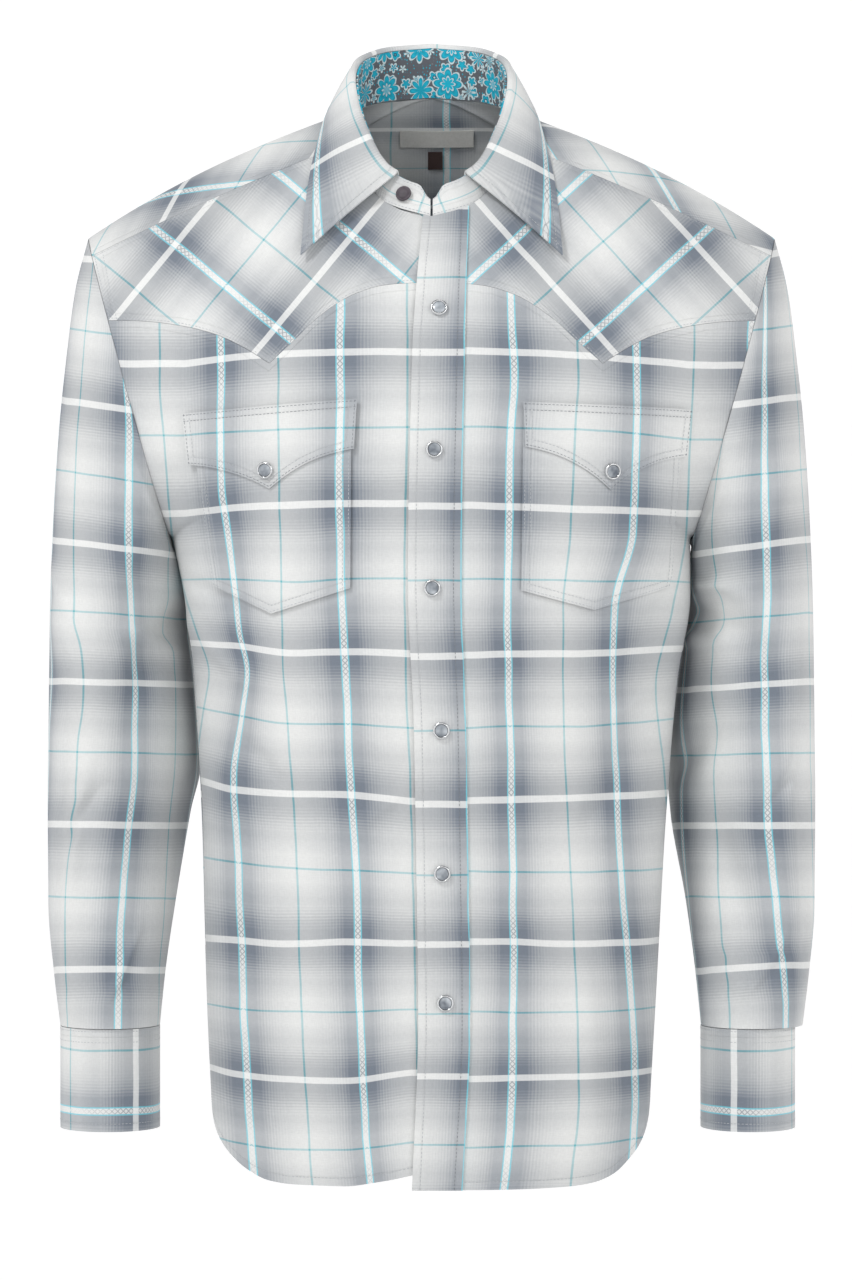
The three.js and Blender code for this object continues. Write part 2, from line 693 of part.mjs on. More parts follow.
// Sleeves: rings from the armhole to the cuff seam
const SLEEVE_COLUMNS = ['outX', 'outZ', 'inRight', 'inLeft', 'inZ', 'front', 'back', 'shift', 'egg', 'skew'];
const SLEEVE_ROWS = table(SLEEVE_COLUMNS, [
  [240, -62, 181, 181, -275, 58, 64, 0, 0.22, 0],
  [249, -97, 183, 184, -279, 61, 66, 1, 0.2, 0],
  [255.5, -145, 184, 186, -285, 63, 68, 2, 0.16, 4],
  [261, -200, 182, 186.5, -294, 67, 70, 2, 0.1, 12],
  [264.5, -260, 176.5, 184, -311, 72, 70, 0, 0.05, 28],
  [266.5, -325, 170.5, 177, -341, 75, 68, -3, 0, 44],
  [267.5, -410, 163.5, 167, -425, 73, 62, -4, 0, 50],
  [268, -462, 171, 169.5, -466, 66, 57, -4, 0, 44],
  [268, -525, 180, 179, -525, 52, 55, 0, 0, 20],
  [264, -575, 186.5, 185, -575, 47, 49, -1, 0, 5],
  [259.5, -611.7, 190, 188.5, -611.7, 41.5, 42.5, -2, 0, 0],
]);

const SLEEVE_FOLDS = table(['side', 'around0', 'along0', 'around1', 'along1', 'width', 'depth'], [
  [1, 165, 0.44, 60, 0.56, 0.028, -4.5],
  [1, 160, 0.62, 70, 0.53, 0.026, -4.0],
  [1, 60, 0.30, 100, 0.48, 0.030, 3.0],
  [1, 120, 0.70, 80, 0.92, 0.030, -2.6],
  [1, -60, 0.42, -150, 0.55, 0.030, -4.0],
  [1, -100, 0.65, -70, 0.90, 0.034, -3.0],
  [-1, 30, 0.50, 85, 0.58, 0.026, 3.6],
  [-1, 70, 0.66, 60, 0.92, 0.034, -3.0],
  [-1, 160, 0.45, 100, 0.56, 0.028, -4.2],
  [-1, 120, 0.28, 90, 0.44, 0.030, 2.8],
  [-1, -70, 0.45, -150, 0.58, 0.030, -4.0],
  [-1, -95, 0.68, -75, 0.90, 0.034, -3.0],
]);

function sleeveFold(side, around, along) {
  let sum = 0;
  const perAround = 0.0022;
  SLEEVE_FOLDS.forEach((fold) => {
    if (fold.side !== side) return;
    const ax = (fold.around1 - fold.around0) * perAround;
    const az = fold.along1 - fold.along0;
    const length = Math.hypot(ax, az);
    const px = (around - fold.around0) * perAround;
    const pz = along - fold.along0;
    const t = (px * ax + pz * az) / (length * length);
    const across = (px * az - pz * ax) / length;
    const taper = smooth(-0.25, 0.3, t) * (1 - smooth(0.7, 1.25, t));
    sum += fold.depth * taper * Math.exp(-((across / fold.width) ** 2));
  });
  return sum;
}

function buildSleeveSurface(side) {
  const knots = SLEEVE_ROWS.map((_, i) => i / (SLEEVE_ROWS.length - 1));
  const column = (name) => curve(knots, SLEEVE_ROWS.map((row) => row[name]));
  const outX = column('outX');
  const outZ = column('outZ');
  const inX = column(side > 0 ? 'inLeft' : 'inRight');
  const inZ = column('inZ');
  const front = column('front');
  const back = column('back');
  const shift = column('shift');
  const egg = column('egg');
  const skew = column('skew');
  const raw = (around, along) => {
    const a = rad(around);
    const c = (1 - Math.cos(a)) / 2;
    const sine = Math.sin(a);
    const depth = sine > 0 ? front(along) : back(along);
    return vec(side * lerp(outX(along), inX(along), c),
      shift(along) + skew(along) * c - depth * sine * (1 - egg(along) * Math.cos(a)),
      lerp(outZ(along), inZ(along), c));
  };
  const rawNormal = (around, along) => {
    const h = 0.002;
    const low = Math.max(0, along - h);
    const high = Math.min(1, along + h);
    const da = raw(around + 0.5, along).sub(raw(around - 0.5, along));
    const dl = raw(around, high).sub(raw(around, low));
    return da.cross(dl).multiplyScalar(side).normalize();
  };
  const entry = (around, along) => {
    const n = rawNormal(around, along);
    const folded = ((around + 180) % 360 + 360) % 360 - 180;
    const amount = sleeveFold(side, folded, along) * smooth(0.02, 0.2, along) * (1 - smooth(0.93, 1, along));
    const p = raw(around, along).addScaledVector(n, amount);
    if (along < 0.1) {
      const turn = Math.abs(folded);
      const out = armholeOut(clamp(turn, 0, 180), folded < 0);
      out.x *= side;
      const drop = (1 - Math.cos(rad(turn))) / 2;
      out.addScaledVector(n, 0.45 * smooth(0.8, 1, drop)).normalize();
      n.lerp(out, 1 - smooth(0, 0.1, along)).normalize();
    }
    return { p, n, around, along };
  };
  return entry;
}

const sleeveLeft = buildSleeveSurface(1);
const sleeveRight = buildSleeveSurface(-1);
const SLEEVE_START = 0.0012;

function buildSleeve(side) {
  const entry = side > 0 ? sleeveLeft : sleeveRight;
  const turns = steps(22, 0, 360);
  const rows = [SLEEVE_START, ...steps(19, 0.045, 1)];
  const grid = rows.map((along) => turns.map((around) => entry(around % 360, along)));
  return shell(side > 0 ? 'left_sleeve' : 'right_sleeve', [grid], -WALL, 0, CLOTH);
}

// Cuffs: a band whose ends lap at the back
const CUFF_CENTRE = { right: 224.7, left: 221.2 };
const CUFF_HALF_WIDTH = { right: 34.8, left: 33.0 };
const CUFF_START = -112;

function cuffPoint(side, around, level) {
  const a = rad(around);
  const half = side > 0 ? CUFF_HALF_WIDTH.left : CUFF_HALF_WIDTH.right;
  const centre = side > 0 ? CUFF_CENTRE.left : CUFF_CENTRE.right;
  const z = lerp(CUFF_TOP - SEAM_GAP, CUFF_BOTTOM, level);
  return {
    p: vec(side * (centre + half * Math.cos(a)), -2 - CUFF_HALF_DEPTH * Math.sin(a), z),
    n: vec(side * Math.cos(a) * CUFF_HALF_DEPTH, -Math.sin(a) * half, 0).normalize(),
    around,
    level,
  };
}

function buildCuff(side) {
  const turns = steps(26, CUFF_START, CUFF_START + 360 + CUFF_LAP_ANGLE);
  const grid = steps(2).map((level) => turns.map((around) => {
    const entry = cuffPoint(side, around, level);
    const lap = smooth(CUFF_START + CUFF_LAP_START, CUFF_START + CUFF_LAP_END, around);
    entry.p.addScaledVector(entry.n, (CUFF_WALL + SEAM_GAP) * lap);
    return entry;
  }));
  return shell(side > 0 ? 'left_cuff' : 'right_cuff', [grid], -CUFF_WALL, 0, CLOTH);
}

function cuffSnap(name, side, around, level) {
  const entry = cuffPoint(side, around, level);
  const base = entry.p.clone().addScaledVector(entry.n, CUFF_WALL + SEAM_GAP + SNAP_LIFT);
  return turned(name, base, entry.n, SNAP_PROFILE, SNAP_SEGMENTS, METAL);
}

// Sleeve plackets: a band on the back of the sleeve above the cuff
const SLEEVE_PLACKET = { around: -95, half: 14, from: 0.71, to: 0.992, lift: 0.9, snap: 0.83 };

function buildSleevePlacket(side) {
  const entry = side > 0 ? sleeveLeft : sleeveRight;
  const grid = steps(8).map((t) => steps(2, -1, 1).map((f) => {
    const along = lerp(SLEEVE_PLACKET.from, SLEEVE_PLACKET.to, t);
    return entry(SLEEVE_PLACKET.around + f * SLEEVE_PLACKET.half, along);
  }));
  return shell(side > 0 ? 'left_sleeve_placket' : 'right_sleeve_placket', [grid], SLEEVE_PLACKET.lift,
    SLEEVE_PLACKET.lift + WALL, CLOTH);
}

function sleeveSnap(side) {
  const entry = (side > 0 ? sleeveLeft : sleeveRight)(SLEEVE_PLACKET.around, SLEEVE_PLACKET.snap);
  const base = entry.p.clone().addScaledVector(entry.n, SLEEVE_PLACKET.lift + WALL + SNAP_LIFT);
  return turned(side > 0 ? 'left_sleeve_snap' : 'right_sleeve_snap', base, entry.n, SNAP_PROFILE,
    SNAP_SEGMENTS, METAL);
}

// Collar stand
const standHeight = (angle) => {
  const folded = angle > 180 ? 360 - angle : angle;
  return lerp(STAND_FRONT_HEIGHT, STAND_BACK_HEIGHT, smooth(5, 120, folded));
};
const STAND_END = 1.2;
const LEAF_END_ANGLE = 25;
const LEAF_COLUMNS = 30;

function standEntry(angle, t) {
  const base = neckPoint(angle);
  const a = rad(angle);
  const n = vec(Math.sin(a) * NECK_HALF_DEPTH, -Math.cos(a) * NECK_HALF_WIDTH, 0).normalize();
  const round = Math.min(angle, 360 - angle);
  const corner = 1 - 0.42 * (1 - smooth(STAND_END, STAND_END + 9, round));
  const height = standHeight(angle) * t * lerp(1, corner, t * t);
  const p = base.clone().addScaledVector(n, -STAND_LEAN * t).add(vec(0, 0, height + STAND_RAISE));
  return { p, n, angle, t };
}

function buildStand(name, low, high, material) {
  const leafAngles = steps(LEAF_COLUMNS, LEAF_END_ANGLE, 360 - LEAF_END_ANGLE);
  const angles = [STAND_END, LEAF_END_ANGLE / 2, ...leafAngles, 360 - LEAF_END_ANGLE / 2, 360 - STAND_END];
  const grid = [1, 0.5, 0].map((t) => angles.map((angle) => standEntry(angle, t)));
  return shell(name, [grid], low, high, material);
}

// Button on the stand end of the wearer's right
const BUTTON = { angle: -19, height: 0.45, radius: 5.5, thick: 2.2, lift: 1.0 };

function buildCollarButton() {
  const entry = standEntry(360 + BUTTON.angle, BUTTON.height);
  const profile = [[0, BUTTON.thick * 0.7], [BUTTON.radius * 0.7, BUTTON.thick * 0.75],
    [BUTTON.radius * 0.85, BUTTON.thick], [BUTTON.radius, BUTTON.thick * 0.5], [BUTTON.radius * 0.85, 0],
    [0, 0]];
  const out = entry.n.clone().multiplyScalar(STAND_FRONT_HEIGHT).add(vec(0, 0, STAND_LEAN)).normalize();
  return turned('collar_button', entry.p.clone().addScaledVector(out, BUTTON.lift), out, profile,
    SNAP_SEGMENTS, METAL);
}

// Neck label and size tab, on the inside of the back yoke
const LABEL = { low: 10, high: 21, fromX: -22.7, toX: 30.5, count: 6, inner: -WALL - 0.7, thick: 0.6 };
const SIZE_TAB = { low: -5, high: 7, fromX: -2.5, toX: 8, count: 2, inner: -WALL - 0.7, thick: 0.6 };

// Share of the back yoke at a distance from the centre and a height
function backShare(x, z) {
  let from = 0;
  let to = 0.5;
  for (let step = 0; step < 30; step += 1) {
    const middle = (from + to) / 2;
    if (rawBody(middle, crossing(middle, () => z, 4, 9)).x < Math.abs(x)) from = middle;
    else to = middle;
  }
  return Math.sign(x) * (from + to) / 2;
}

function buildPatch(name, size, material) {
  const grid = steps(2).map((t) => steps(size.count, size.fromX, size.toX).map((x) => {
    const z = lerp(size.high, size.low, t);
    const s = backShare(x, z);
    const q = crossing(s, () => z, 4, 9);
    return bodyEntry(s, q);
  }));
  return shell(name, [grid], size.inner - size.thick, size.inner, material);
}

// Collar leaf: from the top of the stand over the fold to the outer edge
const LEAF_THICKNESS = 1.4;
const LEAF_BELLY = 1.5;
const LEAF_START = 3.8;
const LEAF_DROP = 2.4;
const FOLD_RISE = 3.8;
const LEAF_ROWS = table(['part', 'x', 'y', 'z'], [
  [0, 0, 60, 38], [0.2, 38, 58, 37], [0.4, 64, 42, 36], [0.55, 73, 12, 28],
  [0.7, 79, -20, 6], [0.85, 85.5, -54, -32], [1, 89.5, -84, -80],
]);
const leafX = columnCurve(LEAF_ROWS, 'part', 'x');
const leafY = columnCurve(LEAF_ROWS, 'part', 'y');
const leafZ = columnCurve(LEAF_ROWS, 'part', 'z');

function leafFold(part, away, up) {
  const entry = standEntry(180 - part * (180 - LEAF_END_ANGLE), 1);
  return { p: entry.p.clone().addScaledVector(entry.n, away).add(vec(0, 0, up)), n: entry.n };
}

function leafPoint(part, t) {
  const start = leafFold(part, LEAF_START, FOLD_RISE - LEAF_DROP).p;
  const away = Math.abs(part);
  const end = vec(Math.sign(part) * leafX(away), leafY(away), leafZ(away));
  const belly = LEAF_BELLY * 4 * t * (1 - t);
  const out = leafFold(part, 0, 0).n;
  return start.lerp(end, t).addScaledVector(out, belly * 0.8).add(vec(0, 0, belly * 0.5));
}

function leafEntry(part, t) {
  const h = 0.004;
  const across = leafPoint(Math.min(part + h, 1), t).sub(leafPoint(Math.max(part - h, -1), t));
  const down = leafPoint(part, Math.min(t + h, 1)).sub(leafPoint(part, Math.max(t - h, 0)));
  return { p: leafPoint(part, t), n: across.cross(down).normalize(), part, t };
}

function buildCollar() {
  const parts = steps(LEAF_COLUMNS, -1, 1);
  const root = parts.map((part) => {
    const fold = leafFold(part, -WALL, SEAM_GAP + 0.1);
    return { p: fold.p, n: fold.n.clone().negate() };
  });
  const crest = parts.map((part) => ({ p: leafFold(part, 0.6, FOLD_RISE).p, n: vec(0, 0, 1) }));
  const rows = [0, 0.2, 0.45, 0.72, 1].map((t) => parts.map((part) => leafEntry(part, t)));
  return shell('collar', [[root, crest, ...rows]], -LEAF_THICKNESS, 0, CLOTH);
}

export default (() => {
  const group = new THREE.Group();
  group.name = 'western_snap_shirt';
  group.add(buildFront(-1));
  group.add(buildFront(1));
  group.add(buildFrontYoke(-1));
  group.add(buildFrontYoke(1));
  group.add(buildBackYoke());
  group.add(buildBack());
  group.add(buildPlacket());
  POCKETS.forEach((row) => group.add(buildPocket(row)));
  FLAPS.forEach((row) => group.add(buildFlap(row)));
  group.add(buildSleeve(-1));
  group.add(buildSleeve(1));
  group.add(buildCuff(-1));
  group.add(buildCuff(1));
  group.add(buildSleevePlacket(-1));
  group.add(buildSleevePlacket(1));
  group.add(buildStand('collar_stand', -WALL, 0, CLOTH));
  group.add(buildStand('stand_facing', -2 * WALL - SEAM_GAP, -WALL - SEAM_GAP, PRINT));
  group.add(buildCollar());
  PLACKET_SNAPS.forEach((row, i) => {
    group.add(snapOnFront(`placket_snap_${i + 1}`, row.x, row.z, SEAM_GAP + BAND_WALL));
  });
  group.add(snapOnFront('right_flap_snap', -111, -228, FLAP_LIFT + WALL));
  group.add(snapOnFront('left_flap_snap', 120.6, -228.4, FLAP_LIFT + WALL));
  [1, -1].forEach((side) => {
    const word = side > 0 ? 'left' : 'right';
    group.add(sleeveSnap(side));
    group.add(cuffSnap(`${word}_cuff_snap_1`, side, CUFF_START + 18, 0.3));
    group.add(cuffSnap(`${word}_cuff_snap_2`, side, CUFF_START + 18, 0.7));
  });
  group.add(buildCollarButton());
  group.add(buildPatch('neck_label', LABEL, WHITE));
  group.add(buildPatch('size_tab', SIZE_TAB, TAB));
  return group;
})();
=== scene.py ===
import math

import bpy
import numpy as np
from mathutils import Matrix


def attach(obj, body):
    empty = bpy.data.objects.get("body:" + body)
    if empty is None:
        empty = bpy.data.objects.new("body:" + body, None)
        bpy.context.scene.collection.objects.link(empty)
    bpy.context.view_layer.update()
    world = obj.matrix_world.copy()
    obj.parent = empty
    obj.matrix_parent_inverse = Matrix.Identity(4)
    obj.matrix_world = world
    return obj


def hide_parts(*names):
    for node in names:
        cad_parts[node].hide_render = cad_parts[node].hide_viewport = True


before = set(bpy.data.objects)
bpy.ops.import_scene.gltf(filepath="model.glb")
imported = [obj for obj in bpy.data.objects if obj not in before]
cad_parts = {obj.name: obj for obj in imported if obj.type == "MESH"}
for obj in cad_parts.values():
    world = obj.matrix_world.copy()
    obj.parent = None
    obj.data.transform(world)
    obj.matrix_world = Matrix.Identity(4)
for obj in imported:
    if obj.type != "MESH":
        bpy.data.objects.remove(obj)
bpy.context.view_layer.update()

# Western snap shirt. Sizes in millimetres up to mesh_from, which makes metres.
MM = 0.001
GRID = 3.0

WALL = 1.2
BAND_WALL = 1.6
CUFF_WALL = 2.0
SEAM_GAP = 0.3
SHOULDER_TIP = (240.0, -62.0)
ARMPIT = (181.0, -275.0)
ARMHOLE_FRONT_DEPTH = 58.0
ARMHOLE_BACK_DEPTH = 64.0
ARMHOLE_EGG = 0.22
NECK_HALF_WIDTH = 60.0
NECK_HALF_DEPTH = 58.0
NECK_CENTRE_Y = -12.0
PLACKET_BELOW_NECK = 1.0
PLACKET_BOTTOM = -715.0
STAND_BACK_HEIGHT = 33.0
STAND_FRONT_HEIGHT = 19.0
STAND_LEAN = 6.0
STAND_RAISE = 1.0
STAND_SEAM = 1.2
SNAP_RADIUS = 5.8
SNAP_HEIGHT = 2.4
CUFF_TOP = -612.0
CUFF_BOTTOM = -683.0
CUFF_HALF_DEPTH = 40.0

# The front as seen from straight ahead: positions are given in the plane of the shoulder line
VIEW_DISTANCE = 3200.0
VIEW_LEVEL = -330.0


def lerp(a, b, t):
    return a + (b - a) * t


def smooth(low, high, value):
    t = np.clip((np.asarray(value, float) - low) / (high - low), 0, 1)
    return t * t * (3 - 2 * t)


def unit(v):
    return v / np.maximum(np.linalg.norm(v, axis=-1, keepdims=True), 1e-12)


def column(rows, index):
    return [row[index] for row in rows]


class Curve:
    """Smooth curve through knots, without overshoot."""

    def __init__(self, xs, ys):
        self.x = np.array(xs, float)
        self.y = np.array(ys, float)
        h = np.diff(self.x)
        slope = np.diff(self.y) / h
        self.m = np.zeros(len(xs))
        self.m[0] = slope[0]
        self.m[-1] = slope[-1]
        for i in range(1, len(xs) - 1):
            if slope[i - 1] * slope[i] > 0:
                w0 = 2 * h[i] + h[i - 1]
                w1 = h[i] + 2 * h[i - 1]
                self.m[i] = (w0 + w1) / (w0 / slope[i - 1] + w1 / slope[i])

    def __call__(self, value):
        value = np.clip(value, self.x[0], self.x[-1])
        i = np.clip(np.searchsorted(self.x, value, side="left") - 1, 0, len(self.x) - 2)
        h = self.x[i + 1] - self.x[i]
        t = (value - self.x[i]) / h
        t2 = t * t
        t3 = t2 * t
        return ((2 * t3 - 3 * t2 + 1) * self.y[i] + (t3 - 2 * t2 + t) * h * self.m[i]
                + (3 * t2 - 2 * t3) * self.y[i + 1] + (t3 - t2) * h * self.m[i + 1])


NECK_ROWS = [(0, -53), (30, -43), (60, -13), (90, 16), (120, 31), (150, 39), (180, 42)]
neck_height = Curve(column(NECK_ROWS, 0), column(NECK_ROWS, 1))


def vec(x, y, z):
    x, y, z = np.broadcast_arrays(np.asarray(x, float), np.asarray(y, float), np.asarray(z, float))
    return np.stack([x, y, z], -1)


def neck_point(angle):
    a = np.radians(angle)
    folded = np.where(np.asarray(angle) > 180, 360 - np.asarray(angle), np.abs(angle))
    return vec(NECK_HALF_WIDTH * np.sin(a), NECK_CENTRE_Y - NECK_HALF_DEPTH * np.cos(a), neck_height(folded))


def armhole_point(angle, back):
    a = np.radians(angle)
    drop = (1 - np.cos(a)) / 2
    depth = np.where(back, ARMHOLE_BACK_DEPTH, -ARMHOLE_FRONT_DEPTH)
    return vec(lerp(SHOULDER_TIP[0], ARMPIT[0], drop), depth * np.sin(a) * (1 - ARMHOLE_EGG * np.cos(a)),
               lerp(SHOULDER_TIP[1], ARMPIT[1], drop))


def armhole_out(angle, back):
    step = 0.5
    tangent = unit(armhole_point(angle + step, back) - armhole_point(angle - step, back))
    across = unit(vec(SHOULDER_TIP[0] - ARMPIT[0], 0, SHOULDER_TIP[1] - ARMPIT[1]))
    plane = unit(np.cross(vec(0, 1, 0), across))
    out = unit(np.cross(tangent, plane))
    middle = vec(lerp(SHOULDER_TIP[0], ARMPIT[0], 0.5), 0, lerp(SHOULDER_TIP[1], ARMPIT[1], 0.5))
    toward = armhole_point(angle, back) - middle
    sign = np.where((out * toward).sum(-1) < 0, -1.0, 1.0)
    return out * sign[..., None]


# neck, armhole, lead, swell, turn, reach, rise, droop
RIDGE_ROW = (105, 0, 0.33, 2, 0, 60, 12, 0)
FRONT_SHOULDER_ROWS = [
    (74, 30, 0.33, -8, 8, 60, 3, 0),
    (46, 50, 0.33, -17, 26, 60, 2, 0),
    (20, 65, 0.33, -10, 34, 62, 0, 0),
    (0, 76, 0.33, 0, 38, 66, 0, 4),
]
BACK_SHOULDER_ROWS = [
    (124, 24, 0.33, 7, 6, 60, 12, 0),
    (144, 40, 0.33, 10, 14, 60, 12, 0),
    (164, 52, 0.33, 6, 22, 60, 9, 0),
    (180, 63, 0.33, 0, 32, 62, 2, 14),
]
# front y, back y, front z, back z, armhole, right, left, side z, lead, turn, reach
BODY_ROWS = [
    (-92, 80, -95, -12, 92, 0, 0, 0, 0.42, 42, 66),
    (-109, 98, -142, -70, 112, 0, 0, 0, 0.5, 50, 64),
    (-118, 107, -185, -135, 134, 0, 0, 0, 0.55, 62, 66),
    (-122, 110, -215, -190, 158, 0, 0, 0, 0.6, 76, 74),
    (-124, 111, -242, -242, 180, 181, 183, -275, 0.62, 88, 90),
    (-125, 110, -300, -300, None, 173, 181, -312, 0.62, 90, 88),
    (-123, 103, -372, -372, None, 166, 172, -376, 0.62, 90, 84),
    (-117, 99, -460, -460, None, 161, 164, -461, 0.62, 90, 79),
    (-113, 104, -600, -600, None, 157, 156.5, -600, 0.62, 90, 76),
    (-110, 108, -745, -745, None, 149, 148, -745, 0.62, 90, 74),
]


def section_points(start, end, lead, swell, turn, reach, rise, droop, back):
    sign = 1 if back else -1
    width = end[0] - start[0]
    lead_x = start[0] + lead * width
    tail_x = end[0] - reach * math.cos(math.radians(turn))

    def level(x):
        return lerp(start[2], end[2], (x - start[0]) / width)
    first = (start[2] - droop if start[0] < 1 else level(lead_x)) + rise
    return [start, (lead_x, start[1] + swell, first),
            (tail_x, end[1] + sign * reach * math.sin(math.radians(turn)), level(tail_x) + rise), end]


def body_half(side):
    rows = []

    def shoulder(row, back, q):
        neck, arm, lead, swell, turn, reach, rise, droop = row
        points = section_points(tuple(neck_point(neck)), tuple(armhole_point(arm, back)), lead, swell, turn,
                                reach, rise, droop, back)
        rows.append((q, points))
    shoulder(RIDGE_ROW, False, 0)
    for i, row in enumerate(FRONT_SHOULDER_ROWS):
        shoulder(row, False, -(i + 1))
    for i, row in enumerate(BACK_SHOULDER_ROWS):
        shoulder(row, True, i + 1)
    for i, row in enumerate(BODY_ROWS):
        front_y, back_y, front_z, back_z, arm, right, left, side_z, lead, turn, reach = row
        for back in (False, True):
            start = (0.0, back_y if back else front_y, back_z if back else front_z)
            if arm is None or arm == 180:
                x = ARMPIT[0] if arm == 180 else (left if side > 0 else right)
                end = (x, 0.0, side_z)
            else:
                end = tuple(armhole_point(arm, back))
            rows.append(((i + 5) * (1 if back else -1),
                         section_points(start, end, lead, 0, turn, reach, 0, 0, back)))
    rows.sort(key=lambda row: row[0])
    knots = [row[0] for row in rows]
    curves = [[Curve(knots, [row[1][k][axis] for row in rows]) for axis in range(3)] for k in range(4)]

    def surface(s, q):
        weights = [(1 - s) ** 3, 3 * s * (1 - s) ** 2, 3 * s * s * (1 - s), s ** 3]
        out = [sum(weights[k] * curves[k][axis](q) for k in range(4)) for axis in range(3)]
        return vec(side * out[0], out[1], out[2])
    return surface


body_left = body_half(1)
body_right = body_half(-1)
ARMPIT_Q = 9


def raw_body(s, q):
    s, q = np.broadcast_arrays(np.asarray(s, float), np.asarray(q, float))
    return np.where((s >= 0)[..., None], body_left(np.abs(s), q), body_right(np.abs(s), q))


def body_normal_raw(s, q):
    h = 0.004
    side = np.where(s >= 0, 1.0, -1.0)
    s0 = np.minimum(np.abs(s), 1 - h)
    du = raw_body(side * (s0 + h), q) - raw_body(side * s0, q)
    q0 = np.clip(q, -13.99, 13.99)
    dq = raw_body(side * s0, q0 + h) - raw_body(side * s0, q0 - h)
    return unit(np.cross(du, dq) * side[..., None])


# Large soft folds: back, x0, z0, x1, z1, width, depth
BODY_FOLDS = [
    (0, -158, -352, -112, -470, 17, -3.0),
    (0, 164, -348, 116, -460, 17, -3.2),
    (0, -150, -420, -132, -640, 15, -2.4),
    (0, 148, -420, 128, -600, 15, 2.4),
    (0, -78, -480, -88, -690, 17, 2.2),
    (0, 66, -520, 84, -700, 18, -2.2),
    (1, -60, -140, -74, -640, 18, -4.2),
    (1, 52, -170, 66, -660, 20, -3.8),
    (1, -128, -260, -112, -600, 17, 3.2),
    (1, 118, -240, 124, -620, 18, 3.4),
    (1, 4, -230, -6, -560, 22, 2.6),
]

# Smaller creases of the cloth, same columns
BODY_CREASES = [
    (0, -140, -128, -112, -78, 7, 1.8),
    (0, 150, -150, 120, -96, 8, 2.0),
    (0, -64, -112, -86, -70, 8, -1.8),
    (0, 70, -110, 92, -66, 8, -1.8),
    (0, -172, -300, -120, -330, 6, -2.9),
    (0, -168, -330, -128, -372, 6, 2.5),
    (0, 172, -300, 132, -352, 7, -3.1),
    (0, 164, -372, 122, -398, 6, 2.8),
    (0, -136, -408, -96, -446, 7, -2.8),
    (0, 134, -432, 104, -470, 8, -2.9),
    (0, -52, -400, -24, -424, 5, 2.0),
    (0, -50, -470, -20, -446, 5, 2.0),
    (0, 56, -352, 34, -372, 5, 1.8),
    (0, -40, -560, -60, -690, 8, 2.5),
    (0, 104, -560, 112, -690, 10, 2.8),
    (0, -118, -540, -126, -680, 9, -2.5),
    (0, 40, -590, 46, -700, 8, -2.2),
    (1, -150, -330, -100, -380, 8, -3.6),
    (1, 152, -340, 96, -392, 8, -3.6),
    (1, -140, -420, -84, -470, 9, 3.1),
    (1, 136, -430, 90, -470, 9, 2.9),
    (1, -30, -300, -40, -690, 9, 3.1),
    (1, 30, -340, 26, -690, 8, -2.9),
    (1, 92, -420, 100, -690, 10, -2.9),
    (1, -98, -470, -92, -690, 10, 2.8),
]


def folds_at(folds, back, x, z):
    total = np.zeros(np.shape(x))
    for is_back, x0, z0, x1, z1, width, depth in folds:
        if is_back != back:
            continue
        dx = x1 - x0
        dz = z1 - z0
        length = math.hypot(dx, dz)
        t = ((x - x0) * dx + (z - z0) * dz) / length ** 2
        across = ((x - x0) * dz - (z - z0) * dx) / length
        taper = smooth(-0.2, 0.3, t) * (1 - smooth(0.7, 1.2, t))
        total += depth * taper * np.exp(-((across / width) ** 2))
    return total


def body_point(s, q, creases=True):
    point = raw_body(s, q)
    edge = 1 - smooth(0.82, 1, np.abs(s)) * (np.abs(q) < ARMPIT_Q + 1)
    tables = BODY_FOLDS + (BODY_CREASES if creases else [])
    back = q > 0
    offset = np.where(back, folds_at(tables, 1, point[..., 0], point[..., 2]),
                      folds_at(tables, 0, point[..., 0], point[..., 2])) * edge
    return point + body_normal_raw(s, q) * offset[..., None]


def body_normal(s, q):
    n = body_normal_raw(s, q)
    side = np.where(s >= 0, 1.0, -1.0)
    end = raw_body(side, q)
    drop = np.clip((end[..., 2] - SHOULDER_TIP[1]) / (ARMPIT[1] - SHOULDER_TIP[1]), 0, 1)
    angle = np.degrees(np.arccos(np.clip(1 - 2 * drop, -1, 1)))
    out = armhole_out(angle, q > 0)
    out = out * vec(side, 1, 1)
    out = unit(out + n * (0.45 * smooth(0.8, 1, drop))[..., None])
    share = smooth(0.9, 1, np.abs(s)) * ((np.abs(q) < ARMPIT_Q + 0.001) & (np.abs(s) >= 0.9))
    return unit(lerp(n, out, share[..., None]))


def locate(x, z):
    """Body parameters under points seen square from the front."""
    x, z = np.broadcast_arrays(np.asarray(x, float), np.asarray(z, float))
    s = np.clip(x / 230, -0.95, 0.95)
    q = np.clip(-6.5 + (z + 150) / 60, -13.5, -1.5)
    h = 1e-4
    for _ in range(60):
        p = raw_body(s, q)
        ex = x - p[..., 0]
        ez = z - p[..., 2]
        ps = (raw_body(s + h, q) - p) / h
        pq = (raw_body(s, q + h) - p) / h
        det = ps[..., 0] * pq[..., 2] - pq[..., 0] * ps[..., 2]
        ds = np.clip((ex * pq[..., 2] - pq[..., 0] * ez) / det, -0.05, 0.05)
        dq = np.clip((ps[..., 0] * ez - ex * ps[..., 2]) / det, -0.3, 0.3)
        s = np.where(x < 0, np.clip(s + ds, -0.999, -1e-5), np.clip(s + ds, 1e-5, 0.999))
        q = np.clip(q + dq, -14, -0.3)
    return s, q


def crossing(s, height_at, start, end):
    """Row parameter at which column s passes a height that may depend on x and s."""
    s = np.asarray(s, float)
    a = np.full(s.shape, float(start))
    b = np.full(s.shape, float(end))
    for _ in range(36):
        middle = (a + b) / 2
        p = raw_body(s, middle)
        above = p[..., 2] > height_at(p[..., 0], s)
        a = np.where(above, middle, a)
        b = np.where(above, b, middle)
    return (a + b) / 2


def steps(count, start=0.0, end=1.0):
    return np.linspace(start, end, int(count) + 1)


